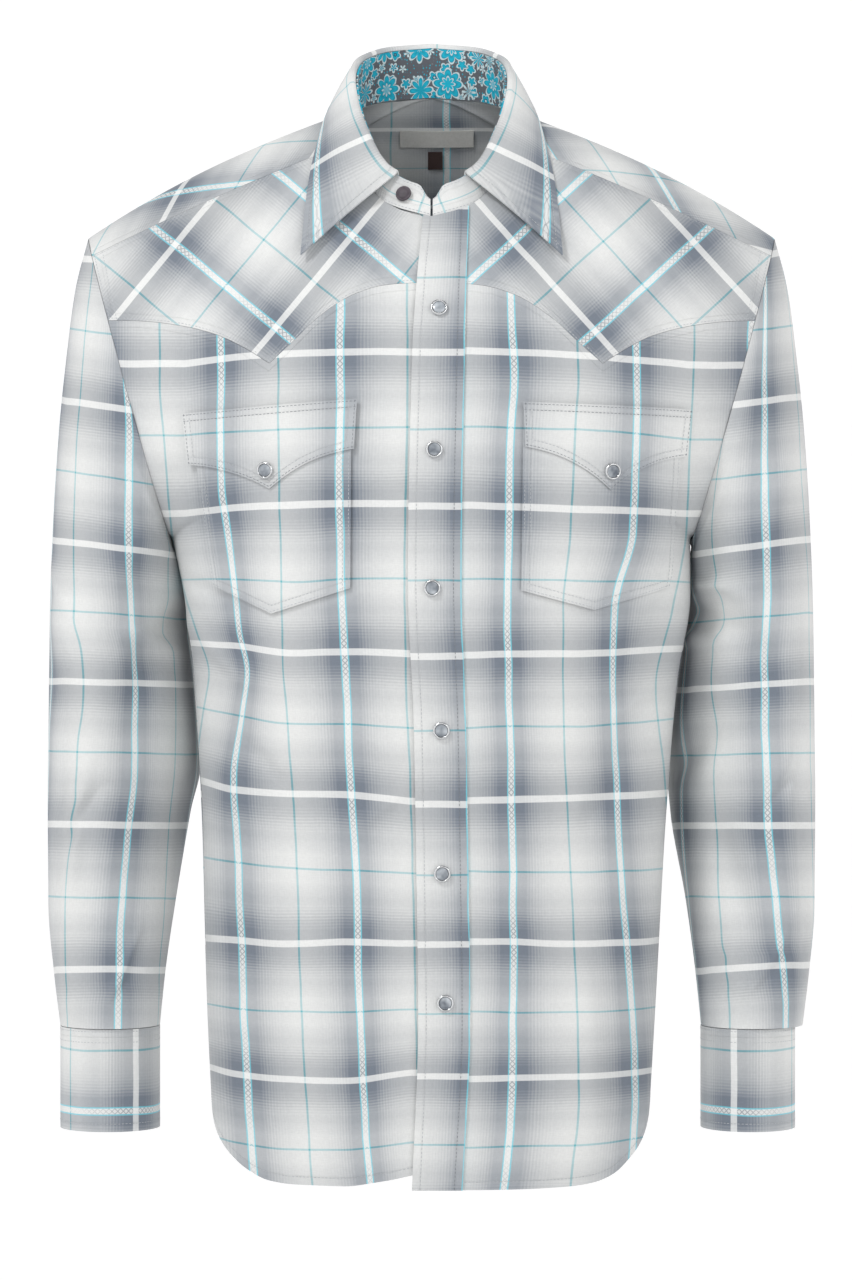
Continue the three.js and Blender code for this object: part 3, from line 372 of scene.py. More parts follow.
def arc(points, axis):
    """Length along a grid's rows (axis 0 goes down, axis 1 across), from its first point."""
    d = np.linalg.norm(np.diff(points, axis=axis), axis=-1)
    zero = np.zeros_like(np.take(d, [0], axis=axis))
    return np.concatenate([zero, np.cumsum(d, axis=axis)], axis=axis)


# Patches: a grid of points p, offset directions n, and cloth coordinates u (across the warp), v (along it)
class Patch:
    def __init__(self, p, n, u=None, v=None):
        self.p = p
        self.n = n
        self.u = np.zeros(p.shape[:2]) if u is None else u
        self.v = np.zeros(p.shape[:2]) if v is None else v
        self.seam = np.full(p.shape[:2], 99.0)
        self.lining = None

    def across(self):
        return arc(self.p, 1)

    def down(self):
        return arc(self.p, 0)

    def mark(self, *edges):
        """Distance from the nearest of these edges, for the seams' relief."""
        across = self.across()
        down = self.down()
        found = {"left": across, "right": across[:, -1:] - across, "top": down, "bottom": down[-1:] - down}
        for edge in edges:
            self.seam = np.minimum(self.seam, found[edge])
        return self

    def at(self, i, j, lift=0.0):
        """Points at fractional rows i and columns j."""
        rows, cols = self.p.shape[:2]
        i = np.clip(i, 0, rows - 1.000001)
        j = np.clip(j, 0, cols - 1.000001)
        i0 = i.astype(int)
        j0 = j.astype(int)
        fi = (i - i0)[:, None]
        fj = (j - j0)[:, None]

        def mix(grid):
            top = lerp(grid[i0, j0], grid[i0, j0 + 1], fj)
            low = lerp(grid[i0 + 1, j0], grid[i0 + 1, j0 + 1], fj)
            return lerp(top, low, fi)
        n = unit(mix(self.n))
        return mix(self.p) + n * lift, n

    def inset(self, edge, distance, count=400):
        """Fractional rows and columns of a line beside an edge, at a distance from it."""
        rows, cols = self.p.shape[:2]
        t = np.linspace(0, 1, count)
        if edge in ("left", "right"):
            length = self.across()
            index = np.array([np.interp(distance, row, np.arange(cols)) if edge == "left"
                              else np.interp(row[-1] - distance, row, np.arange(cols)) for row in length])
            return t * (rows - 1), np.interp(t * (rows - 1), np.arange(rows), index)
        length = self.down()
        index = np.array([np.interp(distance, col, np.arange(rows)) if edge == "top"
                          else np.interp(col[-1] - distance, col, np.arange(rows)) for col in length.T])
        return np.interp(t * (cols - 1), np.arange(cols), index), t * (cols - 1)


def view_of(p):
    scale = 1 + p[..., 1] / VIEW_DISTANCE
    return p[..., 0] / scale, VIEW_LEVEL + (p[..., 2] - VIEW_LEVEL) / scale


def spread(value, knots, levels, slope):
    """Level at a value between knots that differ from point to point; past the ends it goes on at a slope."""
    order = np.argsort(levels)
    knots = [knots[i] for i in order]
    levels = [levels[i] for i in order]
    rising = np.mean(knots[-1] - knots[0]) > 0
    if not rising:
        value = -value
        knots = [-k for k in knots]
    out = levels[0] + (value - knots[0]) * slope
    for k in range(len(levels) - 1):
        gap = np.maximum(knots[k + 1] - knots[k], 1e-6)
        inside = levels[k] + (value - knots[k]) / gap * (levels[k + 1] - levels[k])
        out = np.where(value >= knots[k], inside, out)
    out = np.where(value >= knots[-1], levels[-1] + (value - knots[-1]) * slope, out)
    return out


WARP_REPEAT = 84.0
WEFT_REPEAT = 103.0

# Where the stripes of the fronts lie, seen from the front. Warp lines: z, then x of each line.
RIGHT_WARP_LEVELS = (-0.5, 0.0, 0.5, 1.0, 1.5)
RIGHT_WARP = [
    (-100, -191, -147, -108, -64, -17),
    (-165, -190, -147.5, -107.5, -64, -17),
    (-193, -188, -148, -107.5, -64.5, -17),
    (-236, -185, -147, -107, -65, -18),
    (-273, -181, -142, -106, -64, -19),
    (-314, -172, -137, -105.5, -63, -19.5),
    (-338, -164, -134.5, -105, -61.5, -19),
    (-367, -156, -129, -104, -60, -18),
    (-396, -160, -133, -101.5, -59, -17),
    (-438, -166, -139, -98, -57.5, -15),
    (-488, -172, -136, -95, -54, -13.5),
    (-609, -174, -131, -91, -50, -11),
    (-690, -172, -126.5, -86, -46, -8),
    (-740, -170, -123, -82, -41, -6),
]
LEFT_WARP_LEVELS = (-0.35, 0.0, 0.5, 1.0, 1.5)
LEFT_WARP = [
    (-95, 28, 55, 101, 143, 185),
    (-161, 28, 57.5, 102.5, 144, 183),
    (-204, 25.5, 55, 100, 143.5, 181),
    (-268, 25, 54, 97, 141, 178),
    (-322, 25, 53, 92, 128, 168),
    (-376, 26, 54, 92, 127, 157),
    (-437, 27, 55.5, 94, 129, 163),
    (-520, 29, 57, 98, 133, 170),
    (-581, 29, 57, 101, 139, 174),
    (-661, 27, 56, 103, 142.5, 178),
    (-740, 22, 49, 96, 138, 174),
]
# Weft lines: level, then z at five places across (x of the places first)
RIGHT_WEFT_X = (-172, -137, -99, -60, -15)
RIGHT_WEFT = [
    (-0.5, -96, -94, -91, -90, -91),
    (0.0, -150, -145.5, -143, -141.5, -142),
    (0.5, -200, -197.5, -196, -195, -194.5),
    (1.0, -255, -251, -249, -248, -248),
    (1.5, -301, -301, -303, -300.5, -301),
    (2.0, -345, -347.5, -352.5, -351.5, -353.5),
    (2.5, -388, -396, -402, -402.5, -405),
    (3.0, -438, -448, -451, -452, -456),
    (3.5, -492, -499, -503, -505, -506.5),
    (4.0, -551, -554, -556, -555, -556),
    (4.5, -594, -601, -603.5, -604, -602),
    (5.0, -636, -647, -651, -652, -646),
    (5.5, -683, -695, -700, -700, -695),
]
LEFT_WEFT_X = (28, 57, 100, 143, 180)
LEFT_WEFT = [
    (-0.5, -90, -90, -92, -95, -98),
    (0.0, -141, -142, -144, -147, -151),
    (0.5, -194, -195, -196, -199, -203),
    (1.0, -249.5, -250.5, -252, -253, -255),
    (1.5, -301, -301, -302, -302, -303),
    (2.0, -354, -353.5, -353, -351, -349),
    (2.5, -405, -404, -404, -401, -397),
    (3.0, -456, -455, -454, -452, -448),
    (3.5, -505, -506, -506, -505, -500),
    (4.0, -555, -555, -556, -555, -549),
    (4.5, -603, -604, -604, -602, -596),
    (5.0, -651, -650, -649, -646, -638),
    (5.5, -699, -698, -697, -692, -682),
]


def front_cloth(p, side):
    """Cloth coordinates of points on a front, from where its stripes lie."""
    x, z = view_of(p)
    warp = RIGHT_WARP if side < 0 else LEFT_WARP
    levels = RIGHT_WARP_LEVELS if side < 0 else LEFT_WARP_LEVELS
    knots = [Curve([-r[0] for r in warp], [r[k + 1] for r in warp])(-z) for k in range(len(levels))]
    u = spread(x, knots, [level * WARP_REPEAT for level in levels], 1.05)
    weft = RIGHT_WEFT if side < 0 else LEFT_WEFT
    places = RIGHT_WEFT_X if side < 0 else LEFT_WEFT_X
    knots = [Curve(places, row[1:])(x) for row in weft]
    v = spread(z, knots, [row[0] * WEFT_REPEAT for row in weft], 1.03)
    return u, v


# Front yokes are cut on the bias: the turned grain as seen from the front
YOKE_GRAIN = {
    -1: dict(u0=165.6, ux=0.638, uz=0.77, v0=108.1, vx=0.868, vz=-0.719),
    1: dict(u0=-168.3, ux=0.662, uz=-0.727, v0=1.0, vx=0.818, vz=0.744),
}


def yoke_cloth(p, side):
    x, z = view_of(p)
    g = YOKE_GRAIN[side]
    return g["u0"] + g["ux"] * x + g["uz"] * z, g["v0"] + g["vx"] * x + g["vz"] * z


YOKE_TIP = {-1: 110.0, 1: 116.0}
YOKE_TIP_Z = -155.5
YOKE_INNER = [(0, -99), (0.3, -102), (0.5, -109), (0.7, -124), (0.85, -140), (1, YOKE_TIP_Z)]
YOKE_OUTER = [(0, YOKE_TIP_Z), (18, -144), (38, -134.5), (62, -128), (90, -124), (125, -122)]
yoke_inner = Curve(column(YOKE_INNER, 0), column(YOKE_INNER, 1))
yoke_outer = Curve(column(YOKE_OUTER, 0), column(YOKE_OUTER, 1))


def front_yoke_height(x, _s):
    tip = np.where(x > 0, YOKE_TIP[1], YOKE_TIP[-1])
    away = np.abs(x)
    return np.where(away < tip, yoke_inner(away / tip), yoke_outer(away - tip))


INNER_S = {1: -0.02, -1: -0.055}
UNDERLAP = WALL + SEAM_GAP + 0.1
NECK_Q = -4
NECK_TRIM = 0.004
CENTRE_SHARE = 1e-9


def trim(s, q, length):
    h = 0.01
    speed = np.linalg.norm(body_point(s, q + h, False) - body_point(s, q - h, False), axis=-1) / (2 * h)
    return length / speed


def s_edge(q, side):
    h = 0.01
    speed = np.linalg.norm(raw_body(side, q) - raw_body(side * (1 - h), q), axis=-1) / h
    return 1 - SEAM_GAP / 2 / speed


def front_columns(side, tip_s, inner, outer):
    first = INNER_S[side]
    return np.concatenate([steps(inner, first, tip_s), steps(outer, tip_s, 1)[1:]]) * side


def same_column(s, q, side):
    value = s * side
    out = np.where(value < 0, lerp(NECK_TRIM, value, smooth(-NECK_Q, -NECK_Q + 0.35, -q)), value)
    out = np.where(value > 0.9999, s_edge(q, side), out)
    out = np.where(np.abs(out) < CENTRE_SHARE, CENTRE_SHARE, out)
    return out * side


def under_placket(side, s):
    return np.zeros_like(s) if side > 0 else -UNDERLAP * smooth(-0.1, 0.01, s)


def body_patch(s, q):
    return Patch(body_point(s, q), body_normal(s, q))


def front_yoke_patch(side):
    tip_s = abs(float(locate(side * YOKE_TIP[side], YOKE_TIP_Z)[0]))
    columns = front_columns(side, tip_s, 130 / GRID, 110 / GRID)
    t = steps(120 / GRID)[:, None]
    end = crossing(columns, front_yoke_height, -1.2, -9)
    end = end + trim(columns, end, SEAM_GAP / 2)
    start = -1 - trim(columns, np.full_like(columns, -1.0), SEAM_GAP / 2)
    q = lerp(start, end, t)
    s = same_column(np.broadcast_to(columns, q.shape), q, side)
    patch = body_patch(s, q)
    patch.p = patch.p + patch.n * under_placket(side, s)[..., None]
    patch.u, patch.v = yoke_cloth(patch.p, side)
    return patch


HEM_ROWS = [
    (-0.06, -702, -715, -724), (0, -703, -715, -724), (0.12, -709, -715, -724), (0.24, -713, -715, -722),
    (0.4, -713, -714.5, -718), (0.5, -711.5, -713, -712), (0.6, -706, -708.5, -703),
    (0.7, -698, -699.5, -693), (0.8, -689, -690, -684), (0.9, -678, -678, -674), (1, -664, -664, -664),
]
hem = {-1: Curve(column(HEM_ROWS, 0), column(HEM_ROWS, 1)), 1: Curve(column(HEM_ROWS, 0), column(HEM_ROWS, 2)),
       0: Curve(column(HEM_ROWS, 0), column(HEM_ROWS, 3))}


def even_shares(s, start, end, count):
    t = np.linspace(0, 1, 121)
    p = raw_body(np.full_like(t, s), lerp(start, end, t))
    length = np.concatenate([[0], np.cumsum(np.linalg.norm(np.diff(p, axis=0), axis=-1))])
    return np.interp(steps(count) * length[-1], length, t)


def front_patch(side):
    tip_s = abs(float(locate(side * YOKE_TIP[side], YOKE_TIP_Z)[0]))
    columns = front_columns(side, tip_s, 130 / GRID, 110 / GRID)
    shares = even_shares(side * 0.5, -5.5, -13.8, 600 / GRID)[:, None]
    top = crossing(columns, front_yoke_height, -1.2, -9)
    bottom = crossing(columns, lambda _x, s: hem[side](s * side), -11, -14)
    q = lerp(top - trim(columns, top, SEAM_GAP / 2), bottom, shares)
    s = same_column(np.broadcast_to(columns, q.shape), q, side)
    patch = body_patch(s, q)
    patch.p = patch.p + patch.n * under_placket(side, s)[..., None]
    patch.u, patch.v = front_cloth(patch.p, side)
    return patch


BACK_YOKE_DROP = [(0, -96), (50, -80), (100, -80), (160, -98), (235, -138)]
back_yoke_line = Curve(column(BACK_YOKE_DROP, 0), column(BACK_YOKE_DROP, 1))


def back_yoke_height(x, _s):
    return back_yoke_line(np.abs(x))


def edge_column(s, q, side):
    least = np.where(q < -NECK_Q, NECK_TRIM, CENTRE_SHARE)
    return np.where(np.abs(s) > 0.9999, s_edge(q, side), np.maximum(np.abs(s), least)) * side


SHOULDER_TILT = math.radians(18)
# The inner layer of the back yoke is on the straight grain: its stripes as seen through the neck
LINING_STRIPE = 10.9
LINING_WHITE = 15.0


def back_yoke_cloth(p, q, side):
    """Cut in one piece on the bias: flat place across and up, then turned by 45 degrees."""
    down = arc(p, 0)
    ridge = np.array([np.interp(0, row_q, row) for row_q, row in zip(q.T, down.T)])
    forward = ridge[None, :] - down
    away = np.abs(p[..., 0])
    tilt = SHOULDER_TILT * (1 - smooth(0, 110, -forward))
    flat_x = side * (away / math.cos(SHOULDER_TILT) + forward * np.sin(tilt))
    flat_y = forward * np.cos(tilt) - away * np.sin(tilt)
    half = math.sqrt(0.5)
    return (flat_x - flat_y) * half + 22.0, (flat_x + flat_y) * half + 60.0


def back_yoke_patch(side):
    columns = steps(250 / GRID) * side
    upper = steps(110 / GRID, -1, 4)[:, None] * np.ones_like(columns)
    first = -1 + trim(columns, np.full_like(columns, -1.0), SEAM_GAP / 2)
    upper[0] = first
    end = crossing(columns, back_yoke_height, 4, 9)
    end = end - trim(columns, end, SEAM_GAP / 2)
    lower = lerp(4.0, end, steps(110 / GRID)[1:, None])
    q = np.concatenate([upper, lower])
    s = edge_column(np.broadcast_to(columns, q.shape), q, side)
    patch = body_patch(s, q)
    patch.u, patch.v = back_yoke_cloth(patch.p, q, side)
    x, z = view_of(patch.p)
    patch.lining = ((x - LINING_STRIPE) * 1.07, (LINING_WHITE - z) * 1.9)
    return patch


def back_patch(side):
    columns = steps(250 / GRID) * side
    shares = even_shares(0.5, 6, 13.8, 640 / GRID)[:, None]
    top = crossing(columns, back_yoke_height, 4, 9)
    bottom = crossing(columns, lambda _x, s: hem[0](np.abs(s)), 11, 14)
    q = lerp(top + trim(columns, top, SEAM_GAP / 2), bottom, shares)
    s = edge_column(np.broadcast_to(columns, q.shape), q, side)
    patch = body_patch(s, q)
    patch.u = arc(patch.p, 1) * side
    patch.v = -patch.p[..., 2] - 142.0
    return patch


# Pieces that lie on the front
PLACKET_ROWS = [(52, 10, 31), (95, 7, 33.5), (147, 4.7, 35.5), (305, 2, 36), (398, 5.4, 35),
                (500, 7.2, 35), (600, 8.4, 35), (715, 3.7, 34)]
placket_centre = Curve(column(PLACKET_ROWS, 0), column(PLACKET_ROWS, 1))
placket_width = Curve(column(PLACKET_ROWS, 0), column(PLACKET_ROWS, 2))
# Placket weft lines: level, z
PLACKET_WEFT = [(-0.5, -89.6), (0, -142), (0.5, -196), (1, -250), (1.5, -302), (2, -355), (2.5, -407),
                (3, -458.5), (3.5, -508), (4, -557), (4.5, -605), (5, -649), (5.5, -697)]


def laid(columns, rows, place, lift):
    f, t = np.meshgrid(columns, rows)
    x, z = place(f, t)
    s, q = locate(x, z)
    n = body_normal(s, q)
    return Patch(body_point(s, q) + n * lift, n), f, t


def seam_height(x):
    return neck_height(np.degrees(np.abs(np.arcsin(np.clip(x / NECK_HALF_WIDTH, -1, 1)))))


def placket_patch():
    def across(f, z):
        return placket_centre(-z) + f * placket_width(-z)

    def place(f, t):
        top = seam_height(across(f, neck_height(0) + 0 * f)) - PLACKET_BELOW_NECK
        z = lerp(top, PLACKET_BOTTOM, t)
        return across(f, z), z
    patch, f, _t = laid(steps(36 / GRID * 1.6, -0.5, 0.5), steps(660 / GRID), place, SEAM_GAP + BAND_WALL)
    _x, z = view_of(patch.p)
    knots = [np.full(z.shape, row[1]) for row in PLACKET_WEFT]
    patch.v = spread(z, knots, [row[0] * WEFT_REPEAT for row in PLACKET_WEFT], 1.03)
    patch.u = (f - 0.5) * 36 - 2.1
    return patch


# side, inner top, outer top, inner low, outer low, top z, inner z, outer z, tip x, tip z
POCKETS = [
    (-1, 54, 163, 54.5, 148, -192, -308, -305.5, 107.5, -325),
    (1, 61.5, 170, 60, 163, -192, -309.5, -306.5, 109, -322.5),
]
# side, inner top, outer top, inner top z, outer top z, inner low, outer low, inner low z, outer low z, tip x, tip z
FLAPS = [
    (-1, 50, 168, -181, -189, 52, 164, -214.5, -223, 108.5, -240.5),
    (1, 61.5, 176, -183, -186, 62.5, 172, -213, -217, 120, -241),
]
POCKET_LIFT = 1.4
POCKET_WALL = 1.1
FLAP_LIFT = POCKET_LIFT + POCKET_WALL + 0.5


def tip_columns(share, count):
    return np.concatenate([steps(count, 0, share), steps(count, share, 1)[1:]])


def pocket_patch(row):
    side, inner_top, outer_top, inner_low, outer_low, top_z, inner_z, outer_z, tip_x, tip_z = row
    share = (tip_x - inner_low) / (outer_low - inner_low)

    def place(f, t):
        x = lerp(lerp(inner_top, inner_low, t), lerp(outer_top, outer_low, t), f)
        low = np.where(f < share, lerp(inner_z, tip_z, f / share), lerp(tip_z, outer_z, (f - share) / (1 - share)))
        return side * x, lerp(top_z, low, t)
    patch, _f, _t = laid(tip_columns(share, 54 / GRID), steps(130 / GRID), place, POCKET_LIFT + POCKET_WALL)
    patch.u, patch.v = front_cloth(patch.p, side)
    return patch


def flap_patch(row):
    side, inner_top, outer_top, inner_z, outer_z, inner_low, outer_low, inner_low_z, outer_low_z, tip_x, tip_z = row
    share = (tip_x - inner_low) / (outer_low - inner_low)

    def place(f, t):
        x = lerp(lerp(inner_top, inner_low, t), lerp(outer_top, outer_low, t), f)
        near = np.where(f < share, f / share, (1 - f) / (1 - share))
        edge = np.where(f < share, inner_low_z, outer_low_z)
        low = lerp(edge, tip_z, 0.35 * near + 0.65 * near ** 2.4)
        return side * x, lerp(lerp(inner_z, outer_z, f), low, t)
    patch, _f, _t = laid(tip_columns(share, 54 / GRID * 1.4), steps(50 / GRID * 1.6), place, FLAP_LIFT + WALL)
    patch.u, patch.v = front_cloth(patch.p, side)
    return patch


# Sleeves: out x, out z, in right, in left, in z, front, back, shift, egg, skew
SLEEVE_ROWS = [
    (240, -62, 181, 181, -275, 58, 64, 0, 0.22, 0),
    (249, -97, 180.2, 182, -279, 61, 66, 1, 0.2, 0),
    (255.5, -145, 177.6, 181.2, -285, 63, 68, 2, 0.16, 4),
    (261, -200, 174.8, 180.6, -294, 67, 70, 2, 0.1, 12),
    (264.5, -260, 171.8, 179.6, -311, 72, 70, 0, 0.05, 28),
    (266.5, -325, 170.5, 177, -341, 75, 68, -3, 0, 44),
    (267.5, -410, 163.5, 167, -425, 73, 62, -4, 0, 50),
    (268, -462, 171, 169.5, -466, 66, 57, -4, 0, 44),
    (268, -525, 180, 179, -525, 52, 55, 0, 0, 20),
    (264, -575, 186.5, 185, -575, 47, 49, -1, 0, 5),
    (259.5, -611.7, 190, 188.5, -611.7, 41.5, 42.5, -2, 0, 0),
]
# side, around0, along0, around1, along1, width, depth
SLEEVE_FOLDS = [
    (1, 165, 0.44, 60, 0.56, 0.028, -5.9),
    (1, 160, 0.62, 70, 0.53, 0.026, -5.2),
    (1, 60, 0.30, 100, 0.48, 0.030, 3.9),
    (1, 120, 0.70, 80, 0.92, 0.030, -3.4),
    (1, -60, 0.42, -150, 0.55, 0.030, -5.2),
    (1, -100, 0.65, -70, 0.90, 0.034, -3.9),
    (-1, 30, 0.50, 85, 0.58, 0.026, 4.7),
    (-1, 70, 0.66, 60, 0.92, 0.034, -3.9),
    (-1, 160, 0.45, 100, 0.56, 0.028, -5.5),
    (-1, 120, 0.28, 90, 0.44, 0.030, 3.6),
    (-1, -70, 0.45, -150, 0.58, 0.030, -5.2),
    (-1, -95, 0.68, -75, 0.90, 0.034, -3.9),
]
SLEEVE_CREASES = [
    (-1, 46, 0.585, 30, 0.87, 0.016, -3.4),
    (-1, 66, 0.62, 52, 0.80, 0.014, 2.2),
    (1, 44, 0.60, 34, 0.86, 0.016, -3.0),
    (1, 150, 0.38, 96, 0.46, 0.012, 3.5),
    (1, 170, 0.50, 108, 0.515, 0.010, 4.0),
    (1, 40, 0.62, 78, 0.70, 0.012, -3.1),
    (1, 100, 0.93, 60, 0.84, 0.010, 2.9),
    (1, -90, 0.50, -140, 0.47, 0.012, 4.0),
    (1, -60, 0.75, -100, 0.68, 0.012, 3.1),
    (-1, 20, 0.45, 60, 0.50, 0.011, 3.2),
    (-1, 150, 0.52, 100, 0.50, 0.010, 3.5),
    (-1, 45, 0.74, 80, 0.66, 0.012, -3.2),
    (-1, 95, 0.94, 120, 0.84, 0.010, 2.9),
    (-1, -90, 0.52, -140, 0.49, 0.012, 4.0),
    (-1, -60, 0.77, -100, 0.70, 0.012, 3.1),
]
AROUND_SHARE = 0.0022


def sleeve_fold(side, around, along, tables):
    total = np.zeros(np.shape(around))
    for is_side, around0, along0, around1, along1, width, depth in tables:
        if is_side != side:
            continue
        ax = (around1 - around0) * AROUND_SHARE
        az = along1 - along0
        length = math.hypot(ax, az)
        px = (around - around0) * AROUND_SHARE
        pz = along - along0
        t = (px * ax + pz * az) / length ** 2
        across = (px * az - pz * ax) / length
        taper = smooth(-0.25, 0.3, t) * (1 - smooth(0.7, 1.25, t))
        total += depth * taper * np.exp(-((across / width) ** 2))
    return total


def sleeve_surface(side):
    knots = [i / (len(SLEEVE_ROWS) - 1) for i in range(len(SLEEVE_ROWS))]
    names = ["out_x", "out_z", "in_right", "in_left", "in_z", "front", "back", "shift", "egg", "skew"]
    c = {name: Curve(knots, column(SLEEVE_ROWS, i)) for i, name in enumerate(names)}
    in_x = c["in_left"] if side > 0 else c["in_right"]

    def raw(around, along):
        a = np.radians(around)
        share = (1 - np.cos(a)) / 2
        sine = np.sin(a)
        depth = np.where(sine > 0, c["front"](along), c["back"](along))
        return vec(side * lerp(c["out_x"](along), in_x(along), share),
                   c["shift"](along) + c["skew"](along) * share
                   - depth * sine * (1 - c["egg"](along) * np.cos(a)),
                   lerp(c["out_z"](along), c["in_z"](along), share))

    def entry(around, along, creases=True):
        around, along = np.broadcast_arrays(np.asarray(around, float), np.asarray(along, float))
        h = 0.002
        da = raw(around + 0.5, along) - raw(around - 0.5, along)
        dl = raw(around, np.minimum(1, along + h)) - raw(around, np.maximum(0, along - h))
        n = unit(np.cross(da, dl) * side)
        folded = (around + 180) % 360 - 180
        tables = SLEEVE_FOLDS + (SLEEVE_CREASES if creases else [])
        amount = sleeve_fold(side, folded, along, tables) * smooth(0.02, 0.2, along) * (1 - smooth(0.93, 1, along))
        p = raw(around, along) + n * amount[..., None]
        turn = np.abs(folded)
        out = armhole_out(np.clip(turn, 0, 180), folded < 0) * vec(side, 1, 1)
        drop = (1 - np.cos(np.radians(turn))) / 2
        out = unit(out + n * (0.45 * smooth(0.8, 1, drop))[..., None])
        share = (1 - smooth(0, 0.1, along))[..., None]
        return p, unit(lerp(n, out, share))
    return entry


sleeve_of = {1: sleeve_surface(1), -1: sleeve_surface(-1)}
SLEEVE_START = 0.0012
# Sleeves: the stripe down the arm (z, x), and weft lines: level, z at the outer and the inner edge
SLEEVE_STRIPE = {
    -1: [(-60, 226), (-125, 220), (-161, 214.7), (-181, 211.8), (-276, 212), (-324, 210), (-376, 207.5), (-427, 208), (-478, 212.5),
         (-530, 217), (-594, 219.5)],
    1: [(-60, 226), (-134, 234), (-228, 233), (-314, 235), (-355, 233), (-458, 235), (-499, 238.5),
        (-550, 244), (-594, 248)],
}
SLEEVE_WEFT = {
    -1: [(-1, -73, -84), (-0.5, -123, -136), (0, -174, -187), (0.5, -223, -237), (1, -273, -284),
         (1.5, -322, -328), (2, -372, -374), (2.5, -421, -423), (3, -472, -473), (3.5, -523, -524),
         (4, -574, -574), (4.5, -625, -625)],
    1: [(-1, -69, -80), (-0.5, -121, -133), (0, -171.5, -183), (0.5, -223, -233), (1, -272, -284),
        (1.5, -324, -331), (2, -372, -378), (2.5, -422, -424), (3, -473, -473), (3.5, -523, -523),
        (4, -570, -575), (4.5, -621, -626)],
}


def sleeve_cloth(p, side, forward):
    x, z = view_of(p)
    stripe = SLEEVE_STRIPE[side]
    goal = Curve([-r[0] for r in stripe], [r[1] for r in stripe])(-z.mean(1))
    length = arc(p * vec(1, 1, 0), 1)
    u = np.zeros(x.shape)
    for i in range(len(x)):
        away = np.abs(x[i][forward])
        order = np.argsort(away)
        zero = np.interp(goal[i], away[order], length[i][forward][order])
        u[i] = (length[i] - zero) * side * -1
    rows = SLEEVE_WEFT[side]
    share = np.clip((268 - np.abs(x)) / 90, 0, 1)
    knots = [lerp(row[1], row[2], share) for row in rows]
    v = spread(z, knots, [row[0] * WEFT_REPEAT for row in rows], 1.03)
    return u, v


def sleeve_patch(side):
    around = steps(430 / GRID, -180, 180)
    along = np.concatenate([[SLEEVE_START], steps(570 / GRID, 0.008, 1)])
    a, t = np.meshgrid(around, along)
    p, n = sleeve_of[side](a, t)
    patch = Patch(p, n)
    patch.u, patch.v = sleeve_cloth(p, side, (around >= 0) & (around <= 180))
    return patch


# Cuffs: a band whose ends lap at the back
CUFF_CENTRE = {-1: 224.7, 1: 221.2}
CUFF_HALF_WIDTH = {-1: 34.8, 1: 33.0}
CUFF_START = -112.0
CUFF_LAP_ANGLE = 37.0
CUFF_WHITE = {-1: 21.0, 1: -12.0}


def cuff_point(side, around, level):
    a = np.radians(around)
    half = CUFF_HALF_WIDTH[side]
    z = lerp(CUFF_TOP - SEAM_GAP, CUFF_BOTTOM, level)
    p = vec(side * (CUFF_CENTRE[side] + half * np.cos(a)), -2 - CUFF_HALF_DEPTH * np.sin(a), z)
    n = unit(vec(side * np.cos(a) * CUFF_HALF_DEPTH, -np.sin(a) * half, 0))
    return p, n


def cuff_patch(side):
    around, level = np.meshgrid(steps(260 / GRID, CUFF_START, CUFF_START + 360 + CUFF_LAP_ANGLE),
                                steps(71 / GRID))
    p, n = cuff_point(side, around, level)
    lap = (CUFF_WALL + SEAM_GAP) * smooth(CUFF_START + 300, CUFF_START + 356, around)
    patch = Patch(p + n * lap[..., None], n)
    patch.u = patch.p[..., 2] - (CUFF_BOTTOM + 14)
    front = np.argmin(np.abs(around[0] - 90))
    length = arc(patch.p, 1)
    patch.v = (length - length[:, front:front + 1]) * side + CUFF_WHITE[side]
    return patch


SLEEVE_PLACKET = dict(around=-95.0, half=14.0, start=0.71, end=0.992, lift=0.9)


def sleeve_placket_patch(side):
    g = SLEEVE_PLACKET
    f, t = np.meshgrid(steps(30 / GRID, -1, 1), steps(160 / GRID))
    around = g["around"] + f * g["half"]
    p, n = sleeve_of[side](around, lerp(g["start"], g["end"], t))
    patch = Patch(p + n * (g["lift"] + WALL), n)
    patch.u = f * 15 + 30
    patch.v = -patch.p[..., 2] + 190
    return patch


# Collar
STAND_END = 0.8
LEAF_END_ANGLE = 25.0
LEAF_BELLY = 1.5
LEAF_START = 3.8
LEAF_DROP = 2.4
FOLD_RISE = 3.8
LEAF_THICKNESS = 1.4
LEAF_ROWS = [(0, 0, 60, 38), (0.2, 38, 58, 37), (0.4, 64, 42, 36), (0.55, 73, 12, 28), (0.7, 79, -20, 6),
             (0.85, 85.5, -54, -32), (1, 89.5, -84, -80)]
leaf_curve = [Curve(column(LEAF_ROWS, 0), column(LEAF_ROWS, k)) for k in (1, 2, 3)]
# Place of the outer edge in the plaid, by the share of the way to the point; and of the fold
LEAF_GRAIN = [(0, 79), (0.4, 81.5), (0.58, 84.5), (0.7, 88.5), (0.82, 91.5), (1, 94)]
FOLD_GRAIN = 35.0
FOLD_WEFT = 47.5


def stand_entry(angle, t):
    angle, t = np.broadcast_arrays(np.asarray(angle, float), np.asarray(t, float))
    a = np.radians(angle)
    n = unit(vec(np.sin(a) * NECK_HALF_DEPTH, -np.cos(a) * NECK_HALF_WIDTH, 0))
    near = np.minimum(angle, 360 - angle)
    height = lerp(STAND_FRONT_HEIGHT, STAND_BACK_HEIGHT, smooth(5, 120, near))
    corner = 1 - 0.42 * (1 - smooth(STAND_END, STAND_END + 9, near))
    height = height * t * lerp(1, corner, t * t)
    return neck_point(angle) - n * (STAND_LEAN * t)[..., None] + vec(0, 0, height + STAND_RAISE), n


